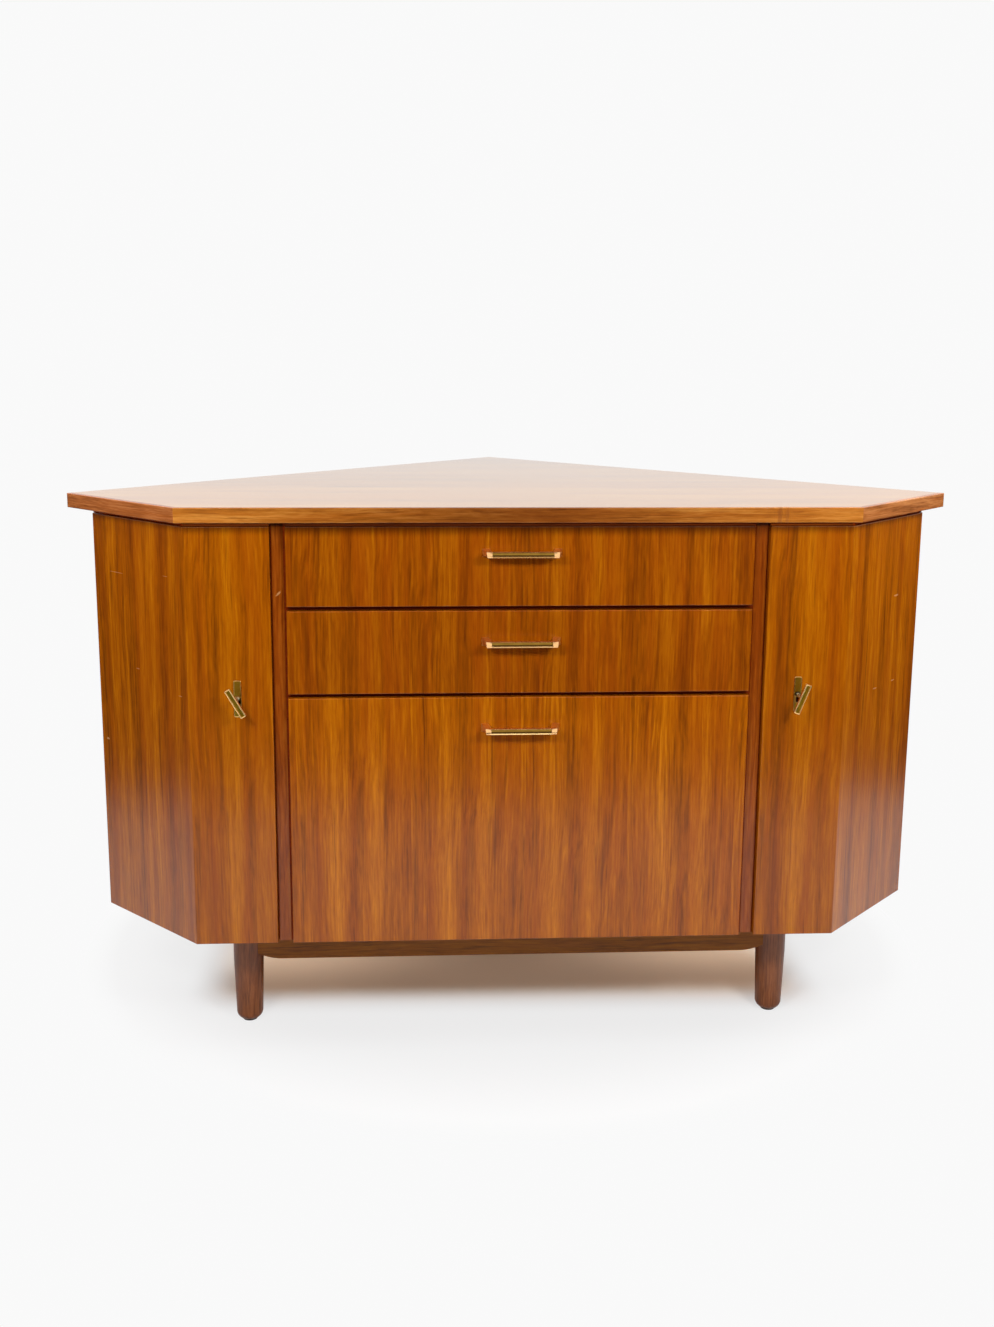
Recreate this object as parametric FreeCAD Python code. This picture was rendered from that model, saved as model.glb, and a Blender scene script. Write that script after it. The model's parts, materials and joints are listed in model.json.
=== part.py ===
"""Corner cabinet for a television: separate boards, drawers, doors, locks, hinges and legs.

The plan is drawn with x to the right, y away from the viewer and z up from the floor, with
y = 0 at the front edge of the top. Each finished piece is moved back to front by one shift,
so that the origin lies on the floor below the middle of the whole cabinet's box.
Pieces of the right-hand side are drawn, and those of the left-hand side are their mirror images.
"""
import FreeCAD
import Part
import math
import os

from FreeCAD import Vector

# Top board: a rectangle's corner with both ends cut off at 45 degrees
top_height = 800.0
top_thickness = 21.0
top_front_length = 944.0
top_side_length = 263.0
lip_width = 9.0
arris = 1.2

# Body below the top
front_overhang = 3.0
side_overhang = 10.0
back_overhang = 50.0
shadow_gap = 5.0
body_base = 172.0
base_reveal = 2.0
base_thickness = 16.0
partition_thickness = 16.0
stile_recess = 10.0
stile_lip_depth = 10.0
back_thickness = 8.0
jamb_width = 22.0
jamb_depth = 30.0
apex_post_size = 32.0
top_rail_height = 18.0
top_rail_width = 40.0

# Doors: a front leaf and a slanted side leaf, mitred into one
panel_thickness = 18.0
door_front_width = 116.0
door_gap = 2.0

# Side shelves
shelf_height = 430.0
shelf_thickness = 16.0
shelf_setback = 42.0
cleat_width = 15.0
cleat_height = 18.0

# Drawers
upper_front_height = 111.25
middle_front_height = 117.5
front_gap = 6.0
drawer_side_gap = 3.5
drawer_side_thickness = 14.0
drawer_back_thickness = 12.0
drawer_bottom_thickness = 5.0
drawer_headroom = 10.0
drawer_floor_gap = 6.0
drawer_back_gap = 12.0
drawer_back_setback = 8.0
side_rise = 8.0
bottom_rise = 10.0
bottom_groove_depth = 6.0
back_dado_depth = 4.0
tail_length = 11.0
tail_pitch = 34.0
tail_root_share = 0.46
tail_tip_share = 0.66
runner_height = 12.0
runner_groove_depth = 6.0
runner_side_play = 0.5
runner_play = 0.3
runner_setback = 30.0
runner_rise_share = 0.58

# Drawer pulls: a bar with a channelled face on two splayed posts
pull_length = 98.0
pull_bar_height = 8.0
pull_bar_depth = 7.0
pull_reach = 26.0
pull_end = 6.0
pull_channel_depth = 2.4
pull_upper_rim = 1.3
pull_lower_rim = 2.4
pull_splay = 6.0
pull_foot_width = 10.0
pull_foot_height = 11.0
upper_pull_drop = 36.0
lower_pull_drop = 43.25

# Door locks
key_drop = 240.0
key_backset = 48.0
key_reach = 29.0
right_key_tilt_degrees = 21.0
left_key_tilt_degrees = 30.0
bow_length = 44.0
bow_width = 9.0
bow_depth = 6.0
bow_rim = 1.5
bow_channel_depth = 2.2
shaft_radius = 2.6
shaft_play = 0.3
neck_radius = 4.2
neck_length = 8.0
bit_reach = 9.5
bit_thickness = 3.0
keyhole_slot_width = 4.2
keyhole_slot_length = 11.0
door_hole_play = 1.6
escutcheon_width = 10.5
escutcheon_height = 52.0
escutcheon_thickness = 1.2
escutcheon_corner = 2.5
lock_wall = 1.5
lock_inset = 1.0
lock_below = 15.0
lock_above = 25.0
lock_beyond = 20.0
bolt_thickness = 6.0
bolt_height = 12.0
bolt_clearance = 6.5
bolt_tail = 14.0
bolt_throw = 9.0
bolt_set_in = 0.5
bolt_play = 0.3
bolt_room = 2.5
talon_width = 13.0
talon_depth = 4.0
strike_width = 12.0
strike_height = 40.0
strike_thickness = 1.2
strike_margin = 1.0
mortise_play = 1.2

# Lift-off hinges on the back edges of the doors
hinge_length = 60.0
hinge_inset = 80.0
knuckle_radius = 4.0
knuckle_stand = 0.4
knuckle_gap = 0.3
hinge_pin_radius = 2.0
pin_play = 0.05
leaf_width = 14.0
leaf_thickness = 1.6

# Legs on two rails
front_leg_inset = 59.0
front_leg_setback = 112.0
rear_leg_half = 230.0
rear_leg_inset = 52.0
leg_top_radius = 22.5
leg_foot_radius = 19.5
leg_foot_round = 9.0
leg_foot_bands = 3
leg_shoulder = 4.0
rail_height = 71.0
rail_thickness = 32.0
rail_seat = 10.0
rail_soft_length = 44.0
rail_soft_rise = 12.0
rail_bulge_share = 0.22
glide_radius = 11.0
glide_height = 4.0
glide_stand = 2.0

# How far every cut runs past its piece, and how closely two positions agree
overrun = 5.0
agree = 0.001

# Plan worked out from the sizes above
diag = math.sqrt(0.5)
mitre_share = math.tan(math.pi / 8)
side_run = top_side_length * diag
front_half = top_front_length / 2
wing_half = front_half + side_run
apex_depth = side_run + wing_half
front_plane = front_overhang
panel_back = front_plane + panel_thickness
corner_half = front_half + front_overhang - side_overhang / diag
back_reach = apex_depth - back_overhang / diag
back_inside = back_reach - back_thickness / diag
rear_corner_half = (back_reach + corner_half - front_plane) / 2
side_length = (rear_corner_half - corner_half) / diag
door_edge = corner_half - door_front_width
bay_half = door_edge - door_gap - partition_thickness
partition_outer = bay_half + partition_thickness
stile_front = front_plane + stile_recess
stile_back = stile_front + stile_lip_depth
partition_rear = back_inside - partition_outer
door_inner = -(panel_thickness + door_gap)
jamb_inner = door_inner - jamb_width

# Heights
top_under = top_height - top_thickness
fronts_top = top_under - shadow_gap
base_under = body_base + base_reveal
base_top = base_under + base_thickness
rail_low = base_under - rail_height

# Drawers and fittings
drawer_half = bay_half - drawer_side_gap
drawer_rear = partition_rear - drawer_back_gap
drawer_side_drop = top_rail_height + drawer_headroom - shadow_gap
runner_front = panel_back + runner_setback
key_x = door_edge + key_backset
key_z = fronts_top - key_drop
bolt_y = stile_back + strike_margin + strike_width / 2
lock_depth = bolt_y + bolt_thickness / 2 + bolt_room + lock_wall - panel_back
bolt_low = key_z + bolt_clearance
bolt_mid = bolt_low + bolt_height / 2
hinge_across = -(panel_thickness + door_gap / 2)
hinge_along = side_length + knuckle_radius + knuckle_stand
front_leg_half = corner_half - front_leg_inset
front_leg_y = front_plane + front_leg_setback
rear_leg_y = back_reach - rear_leg_half - rear_leg_inset / diag
front_reach = max(pull_reach, key_reach)
middle_depth = (apex_depth + front_plane - front_reach) / 2


def wing(along, across):
    """Plan point at a distance along the slanted side and across its outer face, outwards."""
    return corner_half + (along + across) * diag, front_plane + (along - across) * diag


def wing_line(across, depth):
    """Sideways place, at a depth, of a line parallel to the slanted side."""
    return corner_half - front_plane + across / diag + depth


def prism(points, low, high):
    """Upright prism on a plan outline."""
    corners = [Vector(x, y, low) for x, y in points]
    face = Part.Face(Part.makePolygon(corners + corners[:1]))
    return face.extrude(Vector(0, 0, high - low))


def block(x0, x1, y0, y1, z0, z1):
    """Box between two corners."""
    return Part.makeBox(x1 - x0, y1 - y0, z1 - z0, Vector(x0, y0, z0))


def rod(radius, start, end):
    """Round bar from one point to another."""
    way = end - start
    return Part.makeCylinder(radius, way.Length, start, way)


def tapered(near, far):
    """Flat-sided solid between two four-cornered outlines."""
    outlines = [near, far]
    for index in range(len(near)):
        outlines.append([near[index - 1], near[index], far[index], far[index - 1]])
    faces = [Part.Face(Part.makePolygon(outline + outline[:1])) for outline in outlines]
    solid = Part.makeSolid(Part.makeShell(faces))
    if solid.Volume < 0:
        solid.reverse()
    return solid


def mirrored(shape):
    """Left-hand copy of a right-hand piece."""
    return shape.mirror(Vector(0, 0, 0), Vector(1, 0, 0))


def soften(shape, on_face, at_joint):
    """Round the edges of one face, apart from an upright edge that is a joint with another piece."""
    edges = []
    for edge in shape.Edges:
        start, end = [vertex.Point for vertex in edge.Vertexes]
        upright = same(start.x, end.x) and same(start.y, end.y)
        if on_face(start) and on_face(end) and not (upright and at_joint(start)):
            edges.append(edge)
    return shape.makeFillet(arris, edges)


def same(a, b):
    """Whether two positions agree."""
    return abs(a - b) < agree


def top_pieces():
    """Pentagonal board with solid edging mitred round its front and slanted sides."""
    inner_half = front_half - lip_width * mitre_share
    side_inner = (wing_half - lip_width * diag, side_run + lip_width * diag)
    left_inner = (-side_inner[0], side_inner[1])
    panel = prism(
        [(-inner_half, lip_width), (inner_half, lip_width), side_inner, (0, apex_depth), left_inner],
        top_under, top_height)
    front = prism(
        [(-front_half, 0), (front_half, 0), (inner_half, lip_width), (-inner_half, lip_width)],
        top_under, top_height)
    front = soften(front, lambda p: same(p.y, 0), lambda p: same(abs(p.x), front_half))
    side = prism(
        [(front_half, 0), (wing_half, side_run), side_inner, (inner_half, lip_width)],
        top_under, top_height)
    side = soften(side, lambda p: same(p.x - p.y, front_half), lambda p: same(p.x, front_half))
    return {
        "top_panel": panel,
        "top_lip_front": front,
        "top_lip_left": mirrored(side),
        "top_lip_right": side,
    }


def bolt_mortise():
    """Space in the right-hand partition for the thrown bolt."""
    deepest = door_edge + bolt_set_in - bolt_throw - mortise_play
    reach_y = bolt_thickness / 2 + mortise_play
    reach_z = bolt_height / 2 + mortise_play
    return block(deepest, partition_outer + overrun, bolt_y - reach_y, bolt_y + reach_y,
                 bolt_mid - reach_z, bolt_mid + reach_z)


def strike_plate():
    """Plate let in flush round the mortise."""
    return block(partition_outer - strike_thickness, partition_outer,
                 bolt_y - strike_width / 2, bolt_y + strike_width / 2,
                 bolt_mid - strike_height / 2, bolt_mid + strike_height / 2)


def carcass_pieces():
    """Bottom, partitions, backs, posts, rails and runners."""
    side_front = (wing_line(door_inner, stile_back), stile_back)
    side_rear = wing(side_length, door_inner)
    bottom = prism(
        [(-side_front[0], side_front[1]), side_front, side_rear, (0, back_reach),
         (-side_rear[0], side_rear[1])],
        base_under, base_top)

    partition = prism(
        [(bay_half, stile_back), (partition_outer, stile_back), (partition_outer, partition_rear),
         (bay_half, back_inside - bay_half)],
        base_top, top_under)
    strike = strike_plate()
    partition = partition.cut(strike).cut(bolt_mortise())
    strike = strike.cut(bolt_mortise())
    stile_lip = block(bay_half, partition_outer, stile_front, stile_back, body_base, top_under)

    back = prism(
        [wing(side_length, jamb_inner), (0, back_reach), (0, back_inside),
         wing(side_length - back_thickness, jamb_inner)],
        base_top, top_under)
    jamb = prism(
        [wing(side_length - jamb_depth, door_inner), wing(side_length, door_inner),
         wing(side_length, jamb_inner), wing(side_length - jamb_depth, jamb_inner)],
        base_top, top_under)
    post_half = apex_post_size * diag
    post = prism(
        [(0, back_inside), (-post_half, back_inside - post_half), (0, back_inside - post_half - post_half),
         (post_half, back_inside - post_half)],
        base_top, top_under)

    rail_starts = (stile_back, partition_rear - top_rail_width)
    rails = [block(-bay_half, bay_half, start, start + top_rail_width,
                   top_under - top_rail_height, top_under) for start in rail_starts]
    return {
        "bottom_panel": bottom,
        "partition_left": mirrored(partition),
        "partition_right": partition,
        "partition_lips": Part.makeCompound([mirrored(stile_lip), stile_lip]),
        "back_panel_left": mirrored(back),
        "back_panel_right": back,
        "hinge_jambs": Part.makeCompound([mirrored(jamb), jamb]),
        "apex_post": post,
        "top_rails": Part.makeCompound(rails),
        "strikes": Part.makeCompound([mirrored(strike), strike]),
    }


def shelf_pieces():
    """One shelf in each side compartment, on cleats along the partition and the back."""
    front = panel_back + shelf_setback
    across = door_inner - shelf_setback
    rear = wing(side_length - back_thickness, across)
    shelf = prism(
        [(partition_outer, front), (wing_line(across, front), front), rear,
         (partition_outer, partition_rear)],
        shelf_height, shelf_height + shelf_thickness)
    low = shelf_height - cleat_height
    cleat_rear = partition_rear - cleat_width / diag
    wall_cleat = block(partition_outer, partition_outer + cleat_width, front, cleat_rear, low, shelf_height)
    start = side_length - back_thickness - cleat_width
    far = (partition_outer + cleat_width, back_inside - partition_outer - cleat_width)
    near_far = (far[0], far[1] - cleat_width / diag)
    back_cleat = prism([wing(start, across), rear, far, near_far], low, shelf_height)
    cleats = [wall_cleat, back_cleat]
    return {
        "shelf_left": mirrored(shelf),
        "shelf_right": shelf,
        "shelf_cleats": Part.makeCompound(cleats + [mirrored(cleat) for cleat in cleats]),
    }


def drawer_list():
    """Name, lower and upper edge of the front, lower edge of the sides and pull drop of each drawer."""
    upper_low = fronts_top - upper_front_height
    middle_high = upper_low - front_gap
    middle_low = middle_high - middle_front_height
    lower_high = middle_low - front_gap
    return (
        ("upper_drawer", upper_low, fronts_top, upper_low + side_rise, upper_pull_drop),
        ("middle_drawer", middle_low, middle_high, middle_low + side_rise, lower_pull_drop),
        ("lower_drawer", body_base, lower_high, base_top + drawer_floor_gap, lower_pull_drop),
    )


def runner_level(side_low, side_high):
    """Lower face of a runner on a drawer side."""
    return side_low + (side_high - side_low) * runner_rise_share - runner_height / 2


def drawer_runner(side_low, side_high):
    """Strip on the partition that carries a drawer in the groove of its side."""
    level = runner_level(side_low, side_high)
    inner = drawer_half - runner_groove_depth + runner_side_play
    return block(inner, bay_half, runner_front, drawer_rear, level, level + runner_height)


def drawer_side(side_low, side_high):
    """Side board with dovetails that enter the front, and a groove for its runner."""
    inner = drawer_half - drawer_side_thickness
    side = block(inner, drawer_half, panel_back, drawer_rear, side_low, side_high)
    count = max(1, round((side_high - side_low) / tail_pitch))
    step = (side_high - side_low) / count
    for index in range(count):
        middle = side_low + step * (index + 0.5)
        root = step * tail_root_share / 2
        tip = step * tail_tip_share / 2
        corners = [
            Vector(inner, panel_back, middle - root), Vector(inner, panel_back, middle + root),
            Vector(inner, panel_back - tail_length, middle + tip),
            Vector(inner, panel_back - tail_length, middle - tip)]
        face = Part.Face(Part.makePolygon(corners + corners[:1]))
        side = side.fuse(face.extrude(Vector(drawer_side_thickness, 0, 0)))
    level = runner_level(side_low, side_high)
    groove = block(drawer_half - runner_groove_depth, drawer_half + overrun,
                   runner_front - runner_play, drawer_rear + overrun,
                   level - runner_play, level + runner_height + runner_play)
    return side.cut(groove).removeSplitter()


def drawer_pull(height):
    """Bar with a channelled face, on posts that splay out to the drawer front."""
    face = front_plane - pull_reach
    bar_back = face + pull_bar_depth
    half = pull_length / 2
    low = height - pull_bar_height / 2
    high = height + pull_bar_height / 2
    pull = block(-half, half, face, bar_back, low, high)
    channel = block(-half + pull_end, half - pull_end, face - overrun, face + pull_channel_depth,
                    low + pull_lower_rim, high - pull_upper_rim)
    pull = pull.cut(channel)
    foot_half = pull_foot_height / 2
    for hand in (-1, 1):
        foot_inner = half + pull_splay - pull_foot_width
        near = [(half - pull_end, low), (half, low), (half, high), (half - pull_end, high)]
        far = [(foot_inner, height - foot_half), (half + pull_splay, height - foot_half),
               (half + pull_splay, height + foot_half), (foot_inner, height + foot_half)]
        near_ring = [Vector(hand * x, bar_back, z) for x, z in near]
        far_ring = [Vector(hand * x, front_plane, z) for x, z in far]
        pull = pull.fuse(tapered(near_ring, far_ring))
    return pull.removeSplitter()


def drawer_pieces(name, low, high, side_low, pull_drop):
    """Front, two dovetailed sides, back, bottom and pull of one drawer."""
    side_high = high - drawer_side_drop
    side = drawer_side(side_low, side_high)
    inner = drawer_half - drawer_side_thickness
    back_end = drawer_rear - drawer_back_setback
    bottom_low = side_low + bottom_rise
    bottom_half = inner + bottom_groove_depth
    bottom = block(-bottom_half, bottom_half, panel_back - bottom_groove_depth, back_end,
                   bottom_low, bottom_low + drawer_bottom_thickness)
    back_half = inner + back_dado_depth
    back = block(-back_half, back_half, back_end - drawer_back_thickness, back_end,
                 bottom_low + drawer_bottom_thickness, side_high)
    side = side.cut(bottom).cut(back)
    front = block(-drawer_half, drawer_half, front_plane, panel_back, low, high)
    front = soften(front, lambda p: same(p.y, front_plane), lambda p: False)
    front = front.cut(side).cut(mirrored(side)).cut(bottom)
    return {
        name + "_front": front,
        name + "_side_left": mirrored(side),
        name + "_side_right": side,
        name + "_back": back,
        name + "_bottom": bottom,
        name + "_pull": drawer_pull(high - pull_drop),
    }


def keyhole(play, start, end):
    """Round hole with a slot below it, for a key that enters along y."""
    slot_half = keyhole_slot_width / 2 + play
    hole = rod(shaft_radius + shaft_play + play, Vector(key_x, start, key_z), Vector(key_x, end, key_z))
    slot = block(key_x - slot_half, key_x + slot_half, start, end,
                 key_z - keyhole_slot_length - play, key_z)
    return hole.fuse(slot).removeSplitter()


def escutcheon():
    """Upright plate round the keyhole."""
    plate = block(key_x - escutcheon_width / 2, key_x + escutcheon_width / 2,
                  front_plane - escutcheon_thickness, front_plane,
                  key_z - escutcheon_height / 2, key_z + escutcheon_height / 2)
    across = [edge for edge in plate.Edges if same(edge.Length, escutcheon_thickness)]
    plate = plate.makeFillet(escutcheon_corner, across)
    return plate.cut(keyhole(0, front_plane - overrun, front_plane + overrun))


def lock_case():
    """Tray screwed to the inside of the door, with a slot for the bolt and a hole for the key's end."""
    start = door_edge + lock_inset
    end = key_x + lock_beyond
    low = key_z - lock_below
    high = key_z + lock_above
    case = block(start, end, panel_back, panel_back + lock_depth, low, high)
    hollow = block(start + lock_wall, end - lock_wall, panel_back - overrun,
                   panel_back + lock_depth - lock_wall, low + lock_wall, high - lock_wall)
    reach = bolt_thickness / 2 + bolt_play
    slot = block(start - overrun, start + lock_wall + overrun, bolt_y - reach, bolt_y + reach,
                 bolt_low - bolt_play, bolt_low + bolt_height + bolt_play)
    hole = rod(shaft_radius + shaft_play, Vector(key_x, panel_back, key_z),
               Vector(key_x, panel_back + lock_depth + overrun, key_z))
    return case.cut(hollow).cut(slot).cut(hole)


def lock_bolt():
    """Sliding bolt with a notch in its lower edge that the key's bit carries along."""
    bolt = block(door_edge + bolt_set_in, key_x + bolt_tail, bolt_y - bolt_thickness / 2,
                 bolt_y + bolt_thickness / 2, bolt_low, bolt_low + bolt_height)
    talon_middle = key_x + bolt_throw / 2
    talon = block(talon_middle - talon_width / 2, talon_middle + talon_width / 2,
                  bolt_y - bolt_thickness, bolt_y + bolt_thickness,
                  bolt_low - overrun, bolt_low + talon_depth)
    return bolt.cut(talon)


def key(tilt_degrees):
    """Key with a channelled bow across its shaft, turned to stand at a slant."""
    face = front_plane - key_reach
    bow_back = face + bow_depth
    bow = block(key_x - bow_width / 2, key_x + bow_width / 2, face, bow_back,
                key_z - bow_length / 2, key_z + bow_length / 2)
    channel = block(key_x - bow_width / 2 + bow_rim, key_x + bow_width / 2 - bow_rim,
                    face - overrun, face + bow_channel_depth,
                    key_z - bow_length / 2 + bow_rim, key_z + bow_length / 2 - bow_rim)
    bow = bow.cut(channel)
    bow.rotate(Vector(key_x, 0, key_z), Vector(0, 1, 0), tilt_degrees)
    neck_end = bow_back + neck_length
    neck = Part.makeCone(neck_radius, shaft_radius, neck_length,
                         Vector(key_x, bow_back, key_z), Vector(0, 1, 0))
    shaft = rod(shaft_radius, Vector(key_x, neck_end, key_z), Vector(key_x, panel_back + lock_depth, key_z))
    bit = block(key_x, key_x + bit_reach, bolt_y - bolt_thickness / 2, bolt_y + bolt_thickness / 2,
                key_z - bit_thickness / 2, key_z + bit_thickness / 2)
    return bow.fuse(neck).fuse(shaft).fuse(bit).removeSplitter()


def hinge_pieces(low):
    """Door leaf and jamb leaf of one lift-off hinge, drawn about its axis and then set in the plan.

    The pin is fixed in the jamb leaf's knuckle and carries the door leaf's knuckle above it.
    """
    plate_back = -(knuckle_radius + knuckle_stand)
    plate_face = plate_back + leaf_thickness
    inner = knuckle_radius + knuckle_gap
    high = low + hinge_length
    middle = (low + high) / 2
    leaves = {
        1: block(inner, leaf_width, plate_back, plate_face, low, high),
        -1: block(-leaf_width, -inner, plate_back, plate_face, low, high),
    }
    spans = ((-1, low, middle - knuckle_gap / 2), (1, middle + knuckle_gap / 2, high))
    for hand, start, end in spans:
        tongue = block(min(0, hand * inner), max(0, hand * inner), plate_back, plate_face, start, end)
        knuckle = rod(knuckle_radius, Vector(0, 0, start), Vector(0, 0, end))
        leaves[hand] = leaves[hand].fuse(tongue).fuse(knuckle)
    bore = rod(hinge_pin_radius + pin_play, Vector(0, 0, middle), Vector(0, 0, high + overrun))
    pin = rod(hinge_pin_radius, Vector(0, 0, low), Vector(0, 0, high))
    pieces = [leaves[1].cut(bore).removeSplitter(), leaves[-1].fuse(pin).removeSplitter()]
    x, y = wing(hinge_along, hinge_across)
    for piece in pieces:
        piece.rotate(Vector(0, 0, 0), Vector(0, 0, 1), -45)
        piece.translate(Vector(x, y, 0))
    return pieces


def door_pieces():
    """Both doors with their hinges, locks and keys."""
    corner = (corner_half, front_plane)
    inner_corner = (corner_half - panel_thickness * mitre_share, panel_back)
    front = prism([(door_edge, front_plane), corner, inner_corner, (door_edge, panel_back)],
                  body_base, fronts_top)
    front = soften(front, lambda p: same(p.y, front_plane), lambda p: same(p.x, corner_half))
    side = prism([corner, wing(side_length, 0), wing(side_length, -panel_thickness), inner_corner],
                 body_base, fronts_top)
    side = soften(side, lambda p: same(p.x - p.y, corner_half - front_plane),
                  lambda p: same(p.x, corner_half))
    front = front.cut(keyhole(door_hole_play, front_plane - overrun, panel_back + overrun))
    hinges = [hinge_pieces(low) for low in (body_base + hinge_inset, fronts_top - hinge_inset - hinge_length)]
    door_leaves = Part.makeCompound([hinge[0] for hinge in hinges])
    fixed_leaves = [hinge[1] for hinge in hinges]
    drawn = {
        "door_right_front_board": front,
        "door_right_side_board": side,
        "door_right_hinge_leaves": door_leaves,
        "door_right_lock_case": lock_case(),
        "door_right_escutcheon": escutcheon(),
        "bolt_right": lock_bolt(),
        "key_right": key(right_key_tilt_degrees),
    }
    pieces = dict(drawn)
    for name, shape in drawn.items():
        pieces[name.replace("right", "left")] = mirrored(shape)
    pieces["key_left"] = mirrored(key(left_key_tilt_degrees))
    pieces["jamb_hinge_leaves"] = Part.makeCompound(fixed_leaves + [mirrored(leaf) for leaf in fixed_leaves])
    return pieces


def leg_blank(x, y):
    """Turned leg, straight beside its rail, that tapers to a foot rounded off in narrow bands."""
    corners = [Vector(0, 0, glide_stand)]
    for band in range(leg_foot_bands + 1):
        turn = math.pi / 2 * band / leg_foot_bands
        radius = leg_foot_radius - leg_foot_round * (1 - math.sin(turn))
        corners.append(Vector(radius, 0, glide_stand + leg_foot_round * (1 - math.cos(turn))))
    for level in (rail_low - leg_shoulder, base_under):
        corners.append(Vector(leg_top_radius, 0, level))
    corners.append(Vector(0, 0, base_under))
    leg = Part.Face(Part.makePolygon(corners + corners[:1])).revolve(Vector(0, 0, 0), Vector(0, 0, 1), 360)
    leg.translate(Vector(x, y, 0))
    return leg


def leg_rail(half, y):
    """Rail between two legs, its lower edge drawn up towards each end."""
    end = half - rail_seat
    soft = end - rail_soft_length
    start_y = y - rail_thickness / 2
    corners = [Vector(-end, start_y, base_under), Vector(end, start_y, base_under),
               Vector(end, start_y, rail_low + rail_soft_rise), Vector(soft, start_y, rail_low),
               Vector(-soft, start_y, rail_low), Vector(-end, start_y, rail_low + rail_soft_rise)]
    bulge_x = (end + soft) / 2
    bulge_z = rail_low + rail_soft_rise * rail_bulge_share
    edges = [
        Part.makeLine(corners[0], corners[1]),
        Part.makeLine(corners[1], corners[2]),
        Part.Arc(corners[2], Vector(bulge_x, start_y, bulge_z), corners[3]).toShape(),
        Part.makeLine(corners[3], corners[4]),
        Part.Arc(corners[4], Vector(-bulge_x, start_y, bulge_z), corners[5]).toShape(),
        Part.makeLine(corners[5], corners[0]),
    ]
    return Part.Face(Part.Wire(edges)).extrude(Vector(0, rail_thickness, 0))


def leg_pieces():
    """Two rails, each let into a pair of legs, and a glide under every leg."""
    pieces = {}
    glides = []
    for place, half, y in (("front", front_leg_half, front_leg_y), ("rear", rear_leg_half, rear_leg_y)):
        rail = leg_rail(half, y)
        pieces["leg_rail_" + place] = rail
        legs = []
        for x in (-half, half):
            foot = Vector(x, y, 0)
            glide = rod(glide_radius, foot, foot + Vector(0, 0, glide_height))
            glides.append(glide)
            legs.append(leg_blank(x, y).cut(rail).cut(glide))
        pieces["legs_" + place] = Part.makeCompound(legs)
    pieces["glides"] = Part.makeCompound(glides)
    return pieces


def all_pieces():
    """Every node's name and shape, still in the plan's place."""
    pieces = {}
    pieces.update(top_pieces())
    pieces.update(carcass_pieces())
    pieces.update(shelf_pieces())
    runners = []
    for name, low, high, side_low, pull_drop in drawer_list():
        pieces.update(drawer_pieces(name, low, high, side_low, pull_drop))
        runner = drawer_runner(side_low, high - drawer_side_drop)
        runners += [runner, mirrored(runner)]
    pieces["drawer_runners"] = Part.makeCompound(runners)
    pieces.update(door_pieces())
    pieces.update(leg_pieces())
    return pieces


os.makedirs("parts", exist_ok=True)
for node, shape in all_pieces().items():
    shape.translate(Vector(0, -middle_depth, 0))
    shape.exportStep("parts/" + node + ".step")
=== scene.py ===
"""Looks of a teak corner cabinet: veneer grain, brass fittings, turned legs and a plain studio."""
import json
import logging
import math
from dataclasses import dataclass, field, replace
from enum import Enum, IntEnum
from typing import Sequence, Union

import bmesh
import bpy
from mathutils import Euler, Matrix, Vector


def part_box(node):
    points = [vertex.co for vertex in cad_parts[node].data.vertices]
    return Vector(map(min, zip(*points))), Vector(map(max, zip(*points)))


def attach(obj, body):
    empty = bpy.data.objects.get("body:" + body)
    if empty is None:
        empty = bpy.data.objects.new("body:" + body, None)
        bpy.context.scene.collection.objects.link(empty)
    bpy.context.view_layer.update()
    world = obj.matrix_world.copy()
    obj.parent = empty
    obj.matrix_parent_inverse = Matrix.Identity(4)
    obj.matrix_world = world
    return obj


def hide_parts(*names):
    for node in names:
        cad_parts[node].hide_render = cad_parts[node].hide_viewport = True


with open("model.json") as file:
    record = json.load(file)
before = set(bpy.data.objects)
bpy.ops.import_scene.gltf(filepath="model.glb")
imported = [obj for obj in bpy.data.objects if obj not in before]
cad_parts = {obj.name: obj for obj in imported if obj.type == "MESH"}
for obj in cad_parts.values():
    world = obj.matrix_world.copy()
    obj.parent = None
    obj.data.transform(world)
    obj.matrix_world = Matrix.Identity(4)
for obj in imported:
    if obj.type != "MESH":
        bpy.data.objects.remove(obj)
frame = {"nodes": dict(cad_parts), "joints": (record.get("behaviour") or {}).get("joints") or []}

LOG = logging.getLogger("corner_cabinet")
PHOTO_LONG_SIDE = 1327.0
SENSOR = 36.0
SMOOTH_ANGLE = math.radians(35.0)
FLAT_ANGLE = math.radians(1.0)
WELD = 1e-6
TOUCH = 1e-5
FACING = 0.9
FRONT = Vector((0.0, -1.0, 0.0))
UP = Vector((0.0, 0.0, 1.0))
MIX_INPUTS = (0, 6, 7)
MIX_RESULT = 2

Colour = tuple[float, float, float, float]
Triple = tuple[float, float, float]
Span = tuple[float, float]
Shade = tuple[int, int, int]
Feed = Union[bpy.types.NodeSocket, float, tuple, Euler]


def screen(red: int, green: int, blue: int) -> Colour:
    """Turn a colour as a screen shows it into the scene's own light.

    Args:
        red: Red from 0 to 255.
        green: Green from 0 to 255.
        blue: Blue from 0 to 255.

    Returns:
        The colour with alpha 1.
    """
    parts = []
    for part in (red, green, blue):
        share = part / 255.0
        parts.append(share / 12.92 if share <= 0.04045 else ((share + 0.055) / 1.055) ** 2.4)
    return parts[0], parts[1], parts[2], 1.0


def wood_tones(dark: Shade, middle: Shade, pale: Shade) -> dict[str, Colour]:
    """Three tones of a wood, given as a screen shows them."""
    return {"dark": screen(*dark), "middle": screen(*middle), "pale": screen(*pale)}


def grey(value: float) -> Colour:
    """Grey of one brightness."""
    return value, value, value, 1.0


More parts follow.
